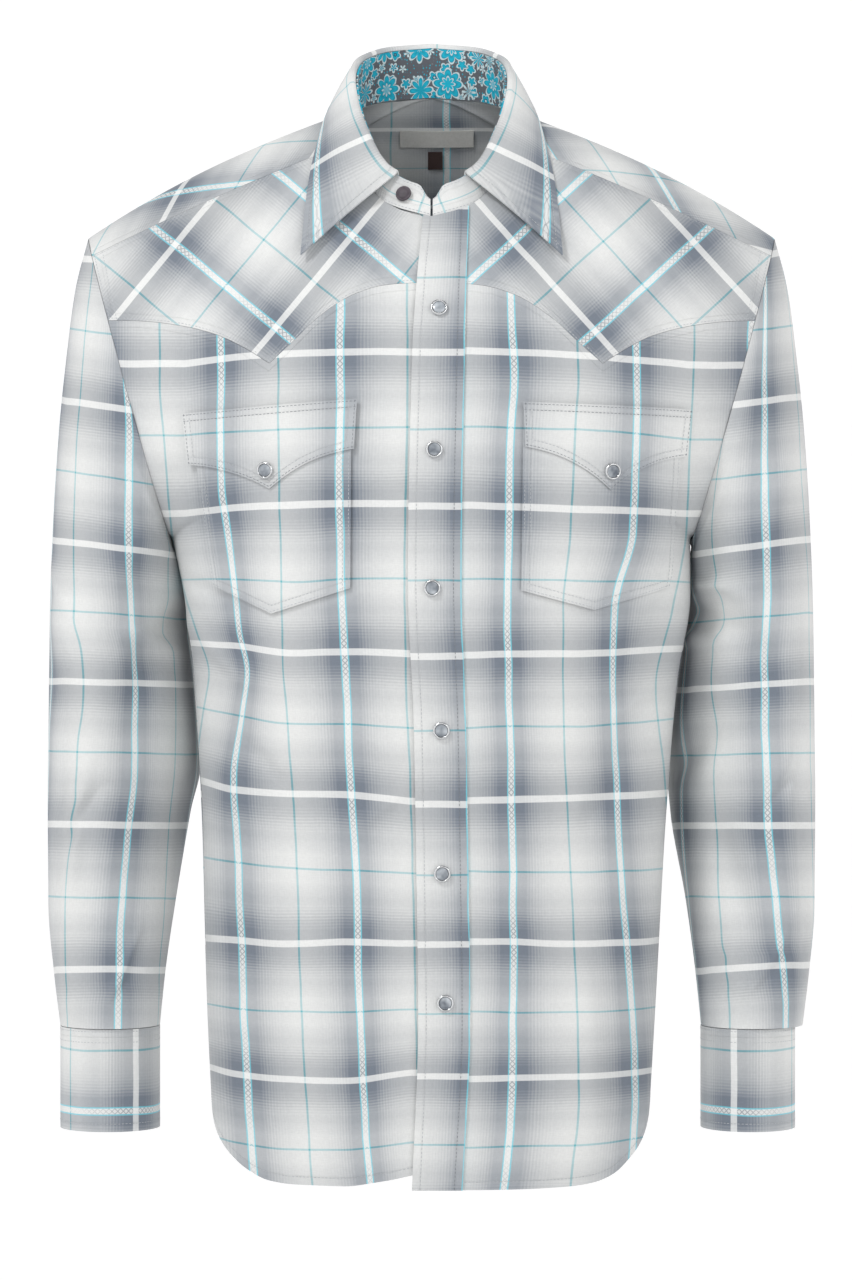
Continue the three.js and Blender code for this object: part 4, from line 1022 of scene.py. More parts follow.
def stand_patch(offset):
    angle, t = np.meshgrid(steps(440 / GRID, STAND_END, 360 - STAND_END), steps(36 / GRID * 1.5, 1, 0))
    p, n = stand_entry(angle, t)
    p = p - vec(0, 0, STAND_SEAM * (1 - smooth(0, 0.3, t)))
    patch = Patch(p + n * offset, n)
    length = arc(patch.p, 1)
    patch.v = length - length[:, length.shape[1] // 2][:, None] + WEFT_REPEAT / 2
    patch.u = (1 - t) * 34 + 20
    return patch


def leaf_fold(part, away, up):
    p, n = stand_entry(180 - part * (180 - LEAF_END_ANGLE), 1.0)
    return p + n * away + vec(0, 0, up), n


def leaf_point(part, t):
    start, out = leaf_fold(part, LEAF_START, FOLD_RISE - LEAF_DROP)
    away = np.abs(part)
    end = vec(np.sign(part) * leaf_curve[0](away), leaf_curve[1](away), leaf_curve[2](away))
    belly = (LEAF_BELLY * 4 * t * (1 - t))[..., None]
    return lerp(start, end, t[..., None]) + out * belly * 0.8 + vec(0, 0, 1) * belly * 0.5


def collar_patch():
    part, t = np.meshgrid(steps(560 / GRID, -1, 1), steps(70 / GRID))
    h = 0.004
    p = leaf_point(part, t)
    across = leaf_point(np.minimum(part + h, 1), t) - leaf_point(np.maximum(part - h, -1), t)
    down = leaf_point(part, np.minimum(t + h, 1)) - leaf_point(part, np.maximum(t - h, 0))
    n = unit(np.cross(across, down))
    root, root_n = leaf_fold(part[:1], -WALL, SEAM_GAP + 0.1)
    rise, _ = leaf_fold(part[:1], -WALL + 0.2, FOLD_RISE * 0.62)
    crest, _ = leaf_fold(part[:1], 0.6, FOLD_RISE)
    over, _ = leaf_fold(part[:1], 3.0, FOLD_RISE - 0.7)
    up = np.broadcast_to(vec(0, 0, 1), crest.shape)
    p = np.concatenate([root, rise, crest, over, p])
    n = np.concatenate([-root_n, unit(-root_n + 0.6 * up), up, unit(up + root_n * 0.8), n])
    patch = Patch(p, n)
    fold = 2
    middle = part.shape[1] // 2
    length = arc(patch.p, 1)[fold]
    ahead = unit(np.gradient(patch.p[fold], axis=0))
    away = patch.p - patch.p[fold]
    slant = (away * ahead).sum(-1) * smooth(0, 1, np.abs(part[:1]))
    patch.v = length - length[middle] + slant + FOLD_WEFT
    share = np.maximum(np.arange(len(p)) - fold, 0)[:, None] / (len(p) - 1 - fold)
    fall = arc(patch.p, 0)
    inner = np.minimum(fall - fall[fold], 0)
    outer = Curve(column(LEAF_GRAIN, 0), column(LEAF_GRAIN, 1))(np.abs(part[:1]))
    patch.u = lerp(FOLD_GRAIN, outer, share) + inner
    return patch


LABEL = dict(low=10.0, high=21.0, start=-22.7, end=30.5)
SIZE_TAB = dict(low=-5.0, high=7.0, start=-2.5, end=8.0)
TAG_OFFSET = -WALL - 0.7
TAG_WALL = 0.6


def back_share(x, z):
    low, high = np.zeros(x.shape), np.full(x.shape, 0.5)
    for _ in range(26):
        middle = (low + high) / 2
        q = crossing(middle, lambda _x, _s: z, 4, 9)
        nearer = raw_body(middle, q)[..., 0] < np.abs(x)
        low = np.where(nearer, middle, low)
        high = np.where(nearer, high, middle)
    return np.sign(x) * (low + high) / 2


def tag_patch(size):
    x, t = np.meshgrid(steps(18, size["start"], size["end"]), steps(6))
    z = lerp(size["high"], size["low"], t)
    s = back_share(x, z)
    q = crossing(s, lambda _x, _s: z, 4, 9)
    patch = Patch(body_point(s, q, False), body_normal(s, q))
    patch.p = patch.p + patch.n * TAG_OFFSET
    patch.u = x
    patch.v = t * (size["high"] - size["low"])
    return patch


# ---------------------------------------------------------------------------
# Meshes
def mesh_from(name, patches, thickness, material):
    """A cloth wall: the patches welded, an inner wall behind them, and the rim between the two."""
    points, normals, cloths, linings, quads = [], [], [], [], []
    base = 0
    for patch in patches:
        rows, cols = patch.p.shape[:2]
        p = patch.p.reshape(-1, 3)
        n = patch.n.reshape(-1, 3)
        ids = np.arange(rows * cols).reshape(rows, cols)
        quad = np.stack([ids[:-1, :-1], ids[:-1, 1:], ids[1:, 1:], ids[1:, :-1]], -1).reshape(-1, 4)
        facing = np.cross(p[quad[:, 2]] - p[quad[:, 0]], p[quad[:, 3]] - p[quad[:, 1]])
        if (facing * n[quad[:, 0]]).sum() < 0:
            quad = quad[:, ::-1]
        points.append(p)
        normals.append(n)
        cloths.append(np.stack([patch.u.ravel(), patch.v.ravel(), patch.seam.ravel()], -1))
        linings.append(cloths[-1] if patch.lining is None else np.stack([*patch.lining, patch.seam], -1).reshape(-1, 3))
        quads.append(quad + base)
        base += rows * cols
    points, normals, cloths, linings, quads = (np.concatenate(x) for x in (points, normals, cloths, linings, quads))
    if len(patches) > 1:
        _keys, first, back = np.unique(np.round(points * 50).astype(np.int64), axis=0, return_index=True,
                                       return_inverse=True)
        back = back.ravel()
        points, normals, cloths, linings = points[first], normals[first], cloths[first], linings[first]
        quads = back[quads]
    quads = quads[(np.diff(np.sort(quads, 1), axis=1) > 0).all(1)]
    count = len(points)
    starts = quads.ravel()
    ends = np.roll(quads, -1, axis=1).ravel()
    rim = ~np.isin(starts * count + ends, ends * count + starts)
    u, v = starts[rim], ends[rim]
    faces = np.concatenate([quads, quads[:, ::-1] + count, np.stack([v, u, u + count, v + count], -1)])
    both = np.concatenate([points, points - normals * thickness])
    mesh = bpy.data.meshes.new(name)
    mesh.vertices.add(len(both))
    mesh.vertices.foreach_set("co", (both * MM).astype(np.float32).ravel())
    mesh.loops.add(faces.size)
    mesh.loops.foreach_set("vertex_index", faces.astype(np.int32).ravel())
    mesh.polygons.add(len(faces))
    mesh.polygons.foreach_set("loop_start", (np.arange(len(faces)) * 4).astype(np.int32))
    mesh.polygons.foreach_set("use_smooth", np.ones(len(faces), bool))
    mesh.update(calc_edges=True)
    mesh.set_sharp_from_angle(angle=math.radians(48))
    data = mesh.attributes.new("cloth", "FLOAT_VECTOR", "POINT")
    data.data.foreach_set("vector", np.concatenate([cloths, linings]).astype(np.float32).ravel())
    mesh.materials.append(material)
    obj = bpy.data.objects.new(name, mesh)
    bpy.context.collection.objects.link(obj)
    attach(obj, "root")
    return obj


class Nodes:
    """Short hand for a material's node tree."""

    def __init__(self, name):
        self.material = bpy.data.materials.new(name)
        self.material.use_nodes = True
        self.tree = self.material.node_tree
        self.shader = self.tree.nodes["Principled BSDF"]

    def add(self, kind, inputs=(), **values):
        node = self.tree.nodes.new(kind)
        for key, value in values.items():
            setattr(node, key, value)
        for key, value in dict(inputs).items():
            if isinstance(value, bpy.types.NodeSocket):
                self.tree.links.new(value, node.inputs[key])
            else:
                node.inputs[key].default_value = value
        return node

    def math(self, operation, *values, clamp=False):
        return self.add("ShaderNodeMath", dict(enumerate(values)), operation=operation, use_clamp=clamp).outputs[0]

    def mix(self, factor, a, b, blend="MIX"):
        node = self.add("ShaderNodeMix", data_type="RGBA", blend_type=blend)
        for index, value in ((0, factor), (6, a), (7, b)):
            if isinstance(value, bpy.types.NodeSocket):
                self.tree.links.new(value, node.inputs[index])
            else:
                node.inputs[index].default_value = value
        return node.outputs[2]

    def ramp(self, value, stops):
        node = self.add("ShaderNodeValToRGB", {0: value})
        points = node.color_ramp.elements
        while len(points) > 1:
            points.remove(points[-1])
        points[0].position = stops[0][0]
        points[0].color = colour(stops[0][1])
        for place, shade in stops[1:]:
            points.new(place).color = colour(shade)
        return node.outputs[0]

    def noise(self, vector, scale, detail=2.0):
        return self.add("ShaderNodeTexNoise", {"Vector": vector, "Scale": scale, "Detail": detail}).outputs[0]

    def set(self, **values):
        for key, value in values.items():
            socket = self.shader.inputs[key.replace("_", " ")]
            if isinstance(value, bpy.types.NodeSocket):
                self.tree.links.new(value, socket)
            else:
                socket.default_value = value

    def cloth(self):
        vector = self.add("ShaderNodeAttribute", attribute_name="cloth").outputs["Vector"]
        parts = self.add("ShaderNodeSeparateXYZ", {0: vector})
        return vector, parts.outputs[0], parts.outputs[1], parts.outputs[2]

    def bump(self, height, distance, strength=1.0, normal=None):
        inputs = {"Height": height, "Distance": distance, "Strength": strength}
        if normal is not None:
            inputs["Normal"] = normal
        return self.add("ShaderNodeBump", inputs).outputs[0]


def colour(shade):
    if isinstance(shade, (int, float)):
        shade = (shade, shade, shade)
    return tuple(shade) + (1.0,)


LIGHT = (0.775, 0.78, 0.77)
DARK_WARP = (0.172, 0.204, 0.256)
DARK_WEFT = (0.195, 0.218, 0.253)
THIN_TEAL = (0.16, 0.50, 0.56)
EDGE_TEAL = (0.16, 0.62, 0.74)
WHITE = (0.845, 0.85, 0.84)

# Half of each repeat, from the middle of its white stripe: places in mm and shares of the light colour
PIN_PITCH = 2.15
WARP_PINS = [(0.24, 0.07), (0.42, 0.18), (0.57, 0.31), (0.63, 0.42), (0.67, 0.54), (0.75, 0.64), (0.80, 0.71),
             (0.84, 0.78)]
WEFT_PINS = [(0.16, 0.00), (0.25, 0.03), (0.33, 0.07), (0.52, 0.15), (0.64, 0.27), (0.67, 0.42), (0.69, 0.53),
             (0.70, 0.61)]
WARP_FADE = [(29.0, 0.86), (31.5, 0.91), (34.5, 0.97), (37.0, 1.0)]
WEFT_FADE = [(31.0, 0.62), (33.5, 0.73), (36.5, 0.80), (39.5, 0.89), (42.0, 1.0)]
WARP_PIN_START = 10.9
WEFT_PIN_START = 10.4


def between(a, b, t):
    return tuple(lerp(x, y, t) for x, y in zip(a, b))


def pin_stops(dark, start, pins, fade):
    stops = [(start - PIN_PITCH / 2, dark)]
    for i, (light, after) in enumerate(pins):
        stops.append((start + PIN_PITCH * i, between(dark, LIGHT, light)))
        stops.append((start + PIN_PITCH * (i + 0.5), between(dark, LIGHT, after)))
    return stops + [(place, between(dark, LIGHT, share)) for place, share in fade]


def warp_stops():
    half = WARP_REPEAT / 2
    stops = [(0, WHITE), (1.95, WHITE), (2.1, EDGE_TEAL), (2.9, EDGE_TEAL), (3.1, DARK_WARP)]
    stops += pin_stops(DARK_WARP, WARP_PIN_START, WARP_PINS, WARP_FADE)
    stops += [(41.2, LIGHT), (41.35, THIN_TEAL), (42.0, THIN_TEAL)]
    return [(place / half, shade) for place, shade in stops]


def weft_stops():
    half = WEFT_REPEAT / 2
    stops = [(0, WHITE), (2.35, WHITE), (2.55, DARK_WEFT)]
    stops += pin_stops(DARK_WEFT, WEFT_PIN_START, WEFT_PINS, WEFT_FADE)
    stops += [(50.7, LIGHT), (50.9, THIN_TEAL), (51.5, THIN_TEAL)]
    return [(place / half, shade) for place, shade in stops]


SEAM_DEPTH = 5.5


def plaid_material():
    m = Nodes("plaid_cloth")
    vector, u, v, seam = m.cloth()
    sway = m.noise(m.add("ShaderNodeVectorMath", {0: vector, 1: (0.02, 0.02, 0.0)}, operation="MULTIPLY").outputs[0],
                   1.0, 1.0)
    shift = m.math("MULTIPLY_ADD", sway, 2.4, -1.2)
    u = m.math("ADD", u, shift)
    v = m.math("SUBTRACT", v, shift)
    warp_at = m.math("ABSOLUTE", m.math("WRAP", u, WARP_REPEAT / 2, -WARP_REPEAT / 2))
    weft_at = m.math("ABSOLUTE", m.math("WRAP", v, WEFT_REPEAT / 2, -WEFT_REPEAT / 2))
    warp = m.ramp(m.math("DIVIDE", warp_at, WARP_REPEAT / 2), warp_stops())
    weft = m.ramp(m.math("DIVIDE", weft_at, WEFT_REPEAT / 2), weft_stops())
    # The dobby stripe floats over the weft, in small diamonds; the white weft stripe covers more too
    in_dobby = m.math("LESS_THAN", warp_at, 3.0)
    in_white = m.math("LESS_THAN", weft_at, 2.45)
    cover = m.math("MULTIPLY_ADD", in_dobby, -0.26, m.math("MULTIPLY_ADD", in_white, 0.22, 0.5))
    cell = m.math("ABSOLUTE", m.math("WRAP", v, 2.0, -2.0))
    diamond = m.math("ADD", m.math("DIVIDE", warp_at, 1.95), m.math("DIVIDE", cell, 2.0))
    outline = m.math("ABSOLUTE", m.math("SUBTRACT", diamond, 1.0))
    outline = m.math("MULTIPLY", m.math("LESS_THAN", outline, 0.24), m.math("LESS_THAN", warp_at, 2.0))
    cover = m.math("MULTIPLY_ADD", outline, 0.5, cover)
    cloth = m.mix(cover, warp, weft)
    fine = m.noise(m.add("ShaderNodeVectorMath", {0: vector, 1: (1.4, 0.25, 0.0)}, operation="MULTIPLY").outputs[0],
                   1.0, 3.0)
    fine_weft = m.noise(m.add("ShaderNodeVectorMath", {0: vector, 1: (0.25, 1.4, 0.0)},
                              operation="MULTIPLY").outputs[0], 1.0, 3.0)
    grain = m.math("MULTIPLY_ADD", m.math("ADD", fine, fine_weft), 0.16, 0.84)
    tint = m.add("ShaderNodeCombineColor", {0: grain, 1: grain, 2: grain}).outputs[0]
    cloth = m.mix(1.0, cloth, tint, "MULTIPLY")
    ridge = m.math("MULTIPLY", m.math("LESS_THAN", seam, SEAM_DEPTH), 0.35)
    line = m.math("SUBTRACT", 1.0, m.math("DIVIDE", m.math("ABSOLUTE", m.math("SUBTRACT", seam, SEAM_DEPTH)), 1.1),
                  clamp=True)
    pucker = m.noise(m.add("ShaderNodeVectorMath", {0: vector, 1: (0.16, 0.16, 0.02)},
                           operation="MULTIPLY").outputs[0], 1.0, 2.0)
    near = m.math("SUBTRACT", 1.0, m.math("DIVIDE", seam, 14.0), clamp=True)
    relief = m.math("ADD", ridge, m.math("MULTIPLY", m.math("MULTIPLY", pucker, near), 1.1))
    relief = m.math("MULTIPLY_ADD", line, -0.45, relief)
    soft = m.noise(m.add("ShaderNodeVectorMath", {0: vector, 1: (0.035, 0.02, 0.0)},
                         operation="MULTIPLY").outputs[0], 1.0, 3.0)
    normal = m.bump(relief, 0.0006, 0.9)
    normal = m.bump(soft, 0.004, 0.5, normal)
    normal = m.bump(m.math("ADD", fine, fine_weft), 0.0002, 0.5, normal)
    m.set(Base_Color=cloth, Roughness=0.72, Sheen_Weight=0.18, Specular_IOR_Level=0.28, Normal=normal)
    m.shader.inputs["Sheen Roughness"].default_value = 0.5
    return m.material


def print_material():
    """A small all-over print of blossoms, leaves and dots on grey."""
    m = Nodes("neck_print")
    vector, _u, _v, _seam = m.cloth()
    flat = m.add("ShaderNodeVectorMath", {0: vector, 1: (1.0, 1.0, 0.0)}, operation="MULTIPLY").outputs[0]

    def cells(scale, offset):
        moved = m.add("ShaderNodeVectorMath", {0: flat, 1: offset}, operation="ADD").outputs[0]
        scaled = m.add("ShaderNodeVectorMath", {0: moved, 1: (scale, scale, 0.0)}, operation="MULTIPLY").outputs[0]
        node = m.add("ShaderNodeTexVoronoi", {"Vector": scaled, "Scale": 1.0, "Randomness": 0.5})
        away = m.add("ShaderNodeVectorMath", {0: scaled, 1: node.outputs["Position"]}, operation="SUBTRACT").outputs[0]
        parts = m.add("ShaderNodeSeparateXYZ", {0: away})
        angle = m.math("ARCTAN2", parts.outputs[1], parts.outputs[0])
        return node.outputs["Distance"], angle

    ground = (0.115, 0.122, 0.14)
    teal = (0.002, 0.30, 0.43)
    bright = (0.002, 0.48, 0.66)
    deep = (0.005, 0.12, 0.19)
    pale = (0.62, 0.74, 0.76)

    def blossom(scale, offset, petals, radius):
        distance, angle = cells(scale, offset)
        lobes = m.math("ABSOLUTE", m.math("COSINE", m.math("MULTIPLY", angle, petals / 2)))
        edge = m.math("MULTIPLY_ADD", lobes, radius * 0.32, radius * 0.68)
        return m.math("DIVIDE", distance, m.math("MULTIPLY", edge, 1.25), clamp=True)

    large = blossom(0.047, (4.0, 7.0, 0.0), 8, 0.58)
    ring = m.ramp(large, [(0.0, pale), (0.09, pale), (0.12, deep), (0.19, deep), (0.21, bright), (0.36, bright),
                          (0.38, pale), (0.42, pale), (0.44, teal), (0.60, bright), (0.70, teal), (0.72, pale),
                          (0.78, pale), (0.80, ground)])
    small = blossom(0.10, (1.0, 2.0, 0.0), 5, 0.50)
    sprig = m.ramp(small, [(0.0, pale), (0.14, pale), (0.18, deep), (0.28, deep), (0.32, bright), (0.62, teal),
                           (0.66, pale), (0.78, pale), (0.80, ground)])
    dots = blossom(0.42, (0.0, 0.5, 0.0), 2, 0.30)
    speck = m.ramp(dots, [(0.0, bright), (0.5, bright), (0.8, ground)])
    body = m.mix(m.math("LESS_THAN", small, 0.80), speck, sprig)
    body = m.mix(m.math("LESS_THAN", large, 0.80), body, ring)
    weave = m.noise(vector, 1.5, 3.0)
    shade = m.math("MULTIPLY_ADD", weave, 0.3, 0.85)
    tint = m.add("ShaderNodeCombineColor", {0: shade, 1: shade, 2: shade}).outputs[0]
    body = m.mix(1.0, body, tint, "MULTIPLY")
    m.set(Base_Color=body, Roughness=0.8, Sheen_Weight=0.1, Normal=m.bump(weave, 0.0003, 0.5))
    return m.material


def woven_material(name, base, other, scale):
    m = Nodes(name)
    vector, u, v, _seam = m.cloth()
    ribs = m.math("SINE", m.math("MULTIPLY", v, 2 * math.pi / 0.55))
    cloud = m.noise(vector, scale, 3.0)
    mixed = m.mix(cloud, colour(base), colour(other))
    normal = m.bump(m.math("MULTIPLY_ADD", ribs, 0.25, cloud), 0.0003, 0.6)
    m.set(Base_Color=mixed, Roughness=0.7, Sheen_Weight=0.15, Normal=normal)
    return m.material


def metal_material():
    m = Nodes("snap_rim")
    place = m.add("ShaderNodeTexCoord").outputs["Object"]
    wear = m.noise(place, 900.0, 3.0)
    shade = m.ramp(wear, [(0.3, (0.58, 0.59, 0.60)), (0.7, (0.78, 0.79, 0.80))])
    m.set(Base_Color=shade, Metallic=1.0, Roughness=m.math("MULTIPLY_ADD", wear, 0.16, 0.12),
          Normal=m.bump(wear, 0.00008, 0.4))
    return m.material


def pearl_material(name, dark, pale, roughness, coat):
    m = Nodes(name)
    place = m.add("ShaderNodeTexCoord").outputs["Object"]
    cloud = m.noise(place, 130.0, 2.0)
    shade = m.ramp(cloud, [(0.3, dark), (0.5, between(dark, pale, 0.5)), (0.7, pale)])
    m.set(Base_Color=shade, Roughness=roughness, Coat_Weight=coat, Normal=m.bump(cloud, 0.00004, 0.2))
    return m.material


def thread_material(name, dark, pale):
    m = Nodes(name)
    place = m.add("ShaderNodeTexCoord").outputs["Object"]
    ply = m.noise(place, 1400.0, 2.0)
    m.set(Base_Color=m.ramp(ply, [(0.3, dark), (0.7, pale)]), Roughness=0.6,
          Sheen_Weight=0.2, Normal=m.bump(ply, 0.0001, 0.6))
    return m.material


def plain_mesh(name, points, faces, materials, slots=None, smooth_shade=True):
    mesh = bpy.data.meshes.new(name)
    mesh.from_pydata((np.asarray(points) * MM).tolist(), [], [tuple(map(int, f)) for f in faces])
    for material in materials:
        mesh.materials.append(material)
    if slots is not None:
        mesh.polygons.foreach_set("material_index", slots)
    mesh.polygons.foreach_set("use_smooth", [smooth_shade] * len(faces))
    mesh.update()
    if smooth_shade:
        mesh.set_sharp_from_angle(angle=math.radians(50))
    obj = bpy.data.objects.new(name, mesh)
    bpy.context.collection.objects.link(obj)
    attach(obj, "root")
    return obj


TURNED_SEGMENTS = 40


def turned(name, base, normal, profile, materials, inner_radius):
    up = unit(np.asarray(normal, float))
    helper = np.array([0, 0, 1.0]) if abs(up[2]) < 0.9 else np.array([1.0, 0, 0])
    ax = unit(np.cross(helper, up))
    ay = np.cross(up, ax)
    angles = np.arange(TURNED_SEGMENTS) * 2 * math.pi / TURNED_SEGMENTS
    ring = np.cos(angles)[:, None] * ax + np.sin(angles)[:, None] * ay
    points = [base + up * profile[0][1]]
    for radius, height in profile[1:-1]:
        points.extend(base + up * height + ring * radius)
    points.append(base + up * profile[-1][1])
    faces, slots = [], []
    rings = len(profile) - 2
    last = 1 + rings * TURNED_SEGMENTS
    for i in range(TURNED_SEGMENTS):
        k = (i + 1) % TURNED_SEGMENTS
        faces.append((0, 1 + i, 1 + k))
        slots.append(0)
        for r in range(rings - 1):
            a = 1 + r * TURNED_SEGMENTS
            faces.append((a + i, a + TURNED_SEGMENTS + i, a + TURNED_SEGMENTS + k, a + k))
            slots.append(0 if profile[r + 2][0] <= inner_radius and r < rings / 2 else 1)
        a = 1 + (rings - 1) * TURNED_SEGMENTS
        faces.append((last, a + k, a + i))
        slots.append(1)
    if len(materials) == 1:
        slots = [0] * len(slots)
    return plain_mesh(name, points, faces, materials, slots)


SNAP_PROFILE = [(0, 2.14), (1.6, 2.1), (3.0, 1.96), (4.1, 1.62), (4.2, 1.2), (4.35, 1.9), (4.6, 2.3), (4.95, 2.4),
                (5.4, 2.2), (5.7, 1.75), (SNAP_RADIUS, 1.1), (5.6, 0.4), (5.3, 0.0), (0, 0.0)]
SNAP_PEARL_RADIUS = 4.1
SNAP_LIFT = 0.45

# Stitching: short raised threads laid along lines on the patches
STITCH_PITCH = 2.7
STITCH_LENGTH = 1.9
STITCH_HALF_WIDTH = 0.19
STITCH_HEIGHT = 0.18
stitch_points = []
stitch_faces = []
stitch_slots = []
STITCH_BOX = [(-1, -0.4, -0.6), (-1, 0.4, -0.6), (-0.5, -1, 0.5), (-0.5, 1, 0.5),
              (0.5, -1, 0.5), (0.5, 1, 0.5), (1, -0.4, -0.6), (1, 0.4, -0.6)]
STITCH_SIDES = [(0, 2, 3, 1), (2, 4, 5, 3), (4, 6, 7, 5), (0, 6, 4, 2), (1, 3, 5, 7), (0, 1, 7, 6)]


def stitch_line(points, normals, slot):
    length = np.concatenate([[0], np.cumsum(np.linalg.norm(np.diff(points, axis=0), axis=-1))])
    count = int(length[-1] / STITCH_PITCH)
    if count < 2:
        return
    starts = (np.arange(count) + 0.5) * length[-1] / count

    def sample(grid, at):
        return np.stack([np.interp(at, length, grid[:, k]) for k in range(3)], -1)
    middle = sample(points, starts)
    ahead = unit(sample(points, starts + 0.5) - sample(points, starts - 0.5))
    up = unit(sample(normals, starts))
    side = np.cross(up, ahead)
    for c, a, b, n in zip(middle, ahead, side, up):
        first = len(stitch_points)
        for x, y, z in STITCH_BOX:
            stitch_points.append(c + a * x * STITCH_LENGTH / 2 + b * y * STITCH_HALF_WIDTH + n * z * STITCH_HEIGHT)
        stitch_faces.extend(tuple(first + k for k in face) for face in STITCH_SIDES)
        stitch_slots.extend([slot] * len(STITCH_SIDES))


def stitch_edge(patch, edge, distance, start=0.0, end=1.0, slot=0):
    i, j = patch.inset(edge, distance)
    keep = slice(int(start * len(i)), max(int(end * len(i)), 2))
    stitch_line(*patch.at(i[keep], j[keep], STITCH_HEIGHT * 0.4), slot)


plaid = plaid_material()
print_cloth = print_material()
label_cloth = woven_material("label_cloth", (0.66, 0.65, 0.61), (0.80, 0.79, 0.76), 0.6)
tab_cloth = woven_material("tab_cloth", (0.045, 0.022, 0.020), (0.075, 0.040, 0.036), 0.9)
rim_metal = metal_material()
pearl = pearl_material("snap_pearl", (0.10, 0.12, 0.15), (0.56, 0.60, 0.64), 0.28, 0.5)
button_pearl = pearl_material("button_pearl", (0.045, 0.036, 0.045), (0.105, 0.085, 0.105), 0.55, 0.0)
thread = thread_material("thread", (0.40, 0.42, 0.44), (0.56, 0.58, 0.60))
# Darker thread: partly the thread's own colour, and on the flaps also painted shadow along the top seam and the edges
dark_thread_and_edge_shade = thread_material("dark_thread_and_edge_shade", (0.16, 0.17, 0.19), (0.26, 0.28, 0.30))


def cloth_piece(name, patches, thickness, material, node):
    obj = mesh_from(name, patches, thickness, material)
    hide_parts(node)
    return obj


patches = {}
for side, word in ((-1, "right"), (1, "left")):
    patches[f"{word}_front"] = front_patch(side).mark("bottom", "top")
    patches[f"{word}_front_yoke"] = front_yoke_patch(side).mark("right", "top", "bottom")
    patches[f"{word}_sleeve"] = sleeve_patch(side)
    patches[f"{word}_cuff"] = cuff_patch(side).mark("left", "right", "top", "bottom")
    patches[f"{word}_sleeve_placket"] = sleeve_placket_patch(side).mark("left", "right", "top")
for row in POCKETS:
    patches["right_pocket" if row[0] < 0 else "left_pocket"] = pocket_patch(row).mark("left", "right", "bottom", "top")
for row in FLAPS:
    patches["right_flap" if row[0] < 0 else "left_flap"] = flap_patch(row).mark("left", "right", "bottom", "top")
patches["placket"] = placket_patch().mark("left", "right")
patches["collar_stand"] = stand_patch(0.0).mark("top", "bottom", "left", "right")
patches["collar"] = collar_patch().mark("bottom", "left", "right")
THICKNESS = {"placket": BAND_WALL, "collar": LEAF_THICKNESS, "right_cuff": CUFF_WALL, "left_cuff": CUFF_WALL,
             "right_pocket": POCKET_WALL, "left_pocket": POCKET_WALL}
for name, patch in patches.items():
    cloth_piece(f"{name}_cloth", [patch], THICKNESS.get(name, WALL), plaid, name)
yoke_halves = [back_yoke_patch(1).mark("top", "bottom"), back_yoke_patch(-1).mark("top", "bottom")]
back_halves = [back_patch(1).mark("bottom", "top"), back_patch(-1).mark("bottom", "top")]
cloth_piece("back_yoke_cloth", yoke_halves, WALL, plaid, "back_yoke")
cloth_piece("back_cloth", back_halves, WALL, plaid, "back")
facing = stand_patch(-WALL - SEAM_GAP)
cloth_piece("stand_facing_cloth", [facing], WALL, print_cloth, "stand_facing")
cloth_piece("neck_label_cloth", [tag_patch(LABEL)], TAG_WALL, label_cloth, "neck_label")
cloth_piece("size_tab_cloth", [tag_patch(SIZE_TAB)], TAG_WALL, tab_cloth, "size_tab")

# Snaps
PLACKET_SNAPS = [(5, -119), (1.7, -215), (0.3, -308), (6.4, -403.7), (7, -500.6), (9.1, -588)]


def snap(node, base, normal):
    obj = turned(f"{node}_round", np.asarray(base) + np.asarray(normal) * SNAP_LIFT, normal, SNAP_PROFILE,
                 [pearl, rim_metal], SNAP_PEARL_RADIUS)
    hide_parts(node)


def snap_on_front(node, x, z, lift):
    s, q = locate(x, z)
    n = body_normal(s, q)
    snap(node, body_point(s, q) + n * lift, n)


for i, (x, z) in enumerate(PLACKET_SNAPS):
    snap_on_front(f"placket_snap_{i + 1}", x, z, SEAM_GAP + BAND_WALL)
snap_on_front("right_flap_snap", -111, -228, FLAP_LIFT + WALL)
snap_on_front("left_flap_snap", 120.6, -228.4, FLAP_LIFT + WALL)
for side, word in ((1, "left"), (-1, "right")):
    p, n = sleeve_of[side](SLEEVE_PLACKET["around"], 0.83)
    snap(f"{word}_sleeve_snap", p + n * (SLEEVE_PLACKET["lift"] + WALL), n)
    for k, level in ((1, 0.3), (2, 0.7)):
        p, n = cuff_point(side, CUFF_START + 18, level)
        snap(f"{word}_cuff_snap_{k}", p + n * (CUFF_WALL + SEAM_GAP), n)
BUTTON = dict(angle=341.0, height=0.45, lift=1.0)
BUTTON_PROFILE = [(0, 1.5), (2.2, 1.45), (3.6, 1.6), (4.2, 2.05), (4.8, 2.2), (5.3, 1.9), (5.5, 1.2), (5.3, 0.5),
                  (4.7, 0.0), (0, 0.0)]
p, n = stand_entry(BUTTON["angle"], BUTTON["height"])
n = unit(n * STAND_FRONT_HEIGHT + vec(0, 0, STAND_LEAN))
button = turned("collar_button_round", p + n * BUTTON["lift"], n, BUTTON_PROFILE, [button_pearl], 0)
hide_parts("collar_button")

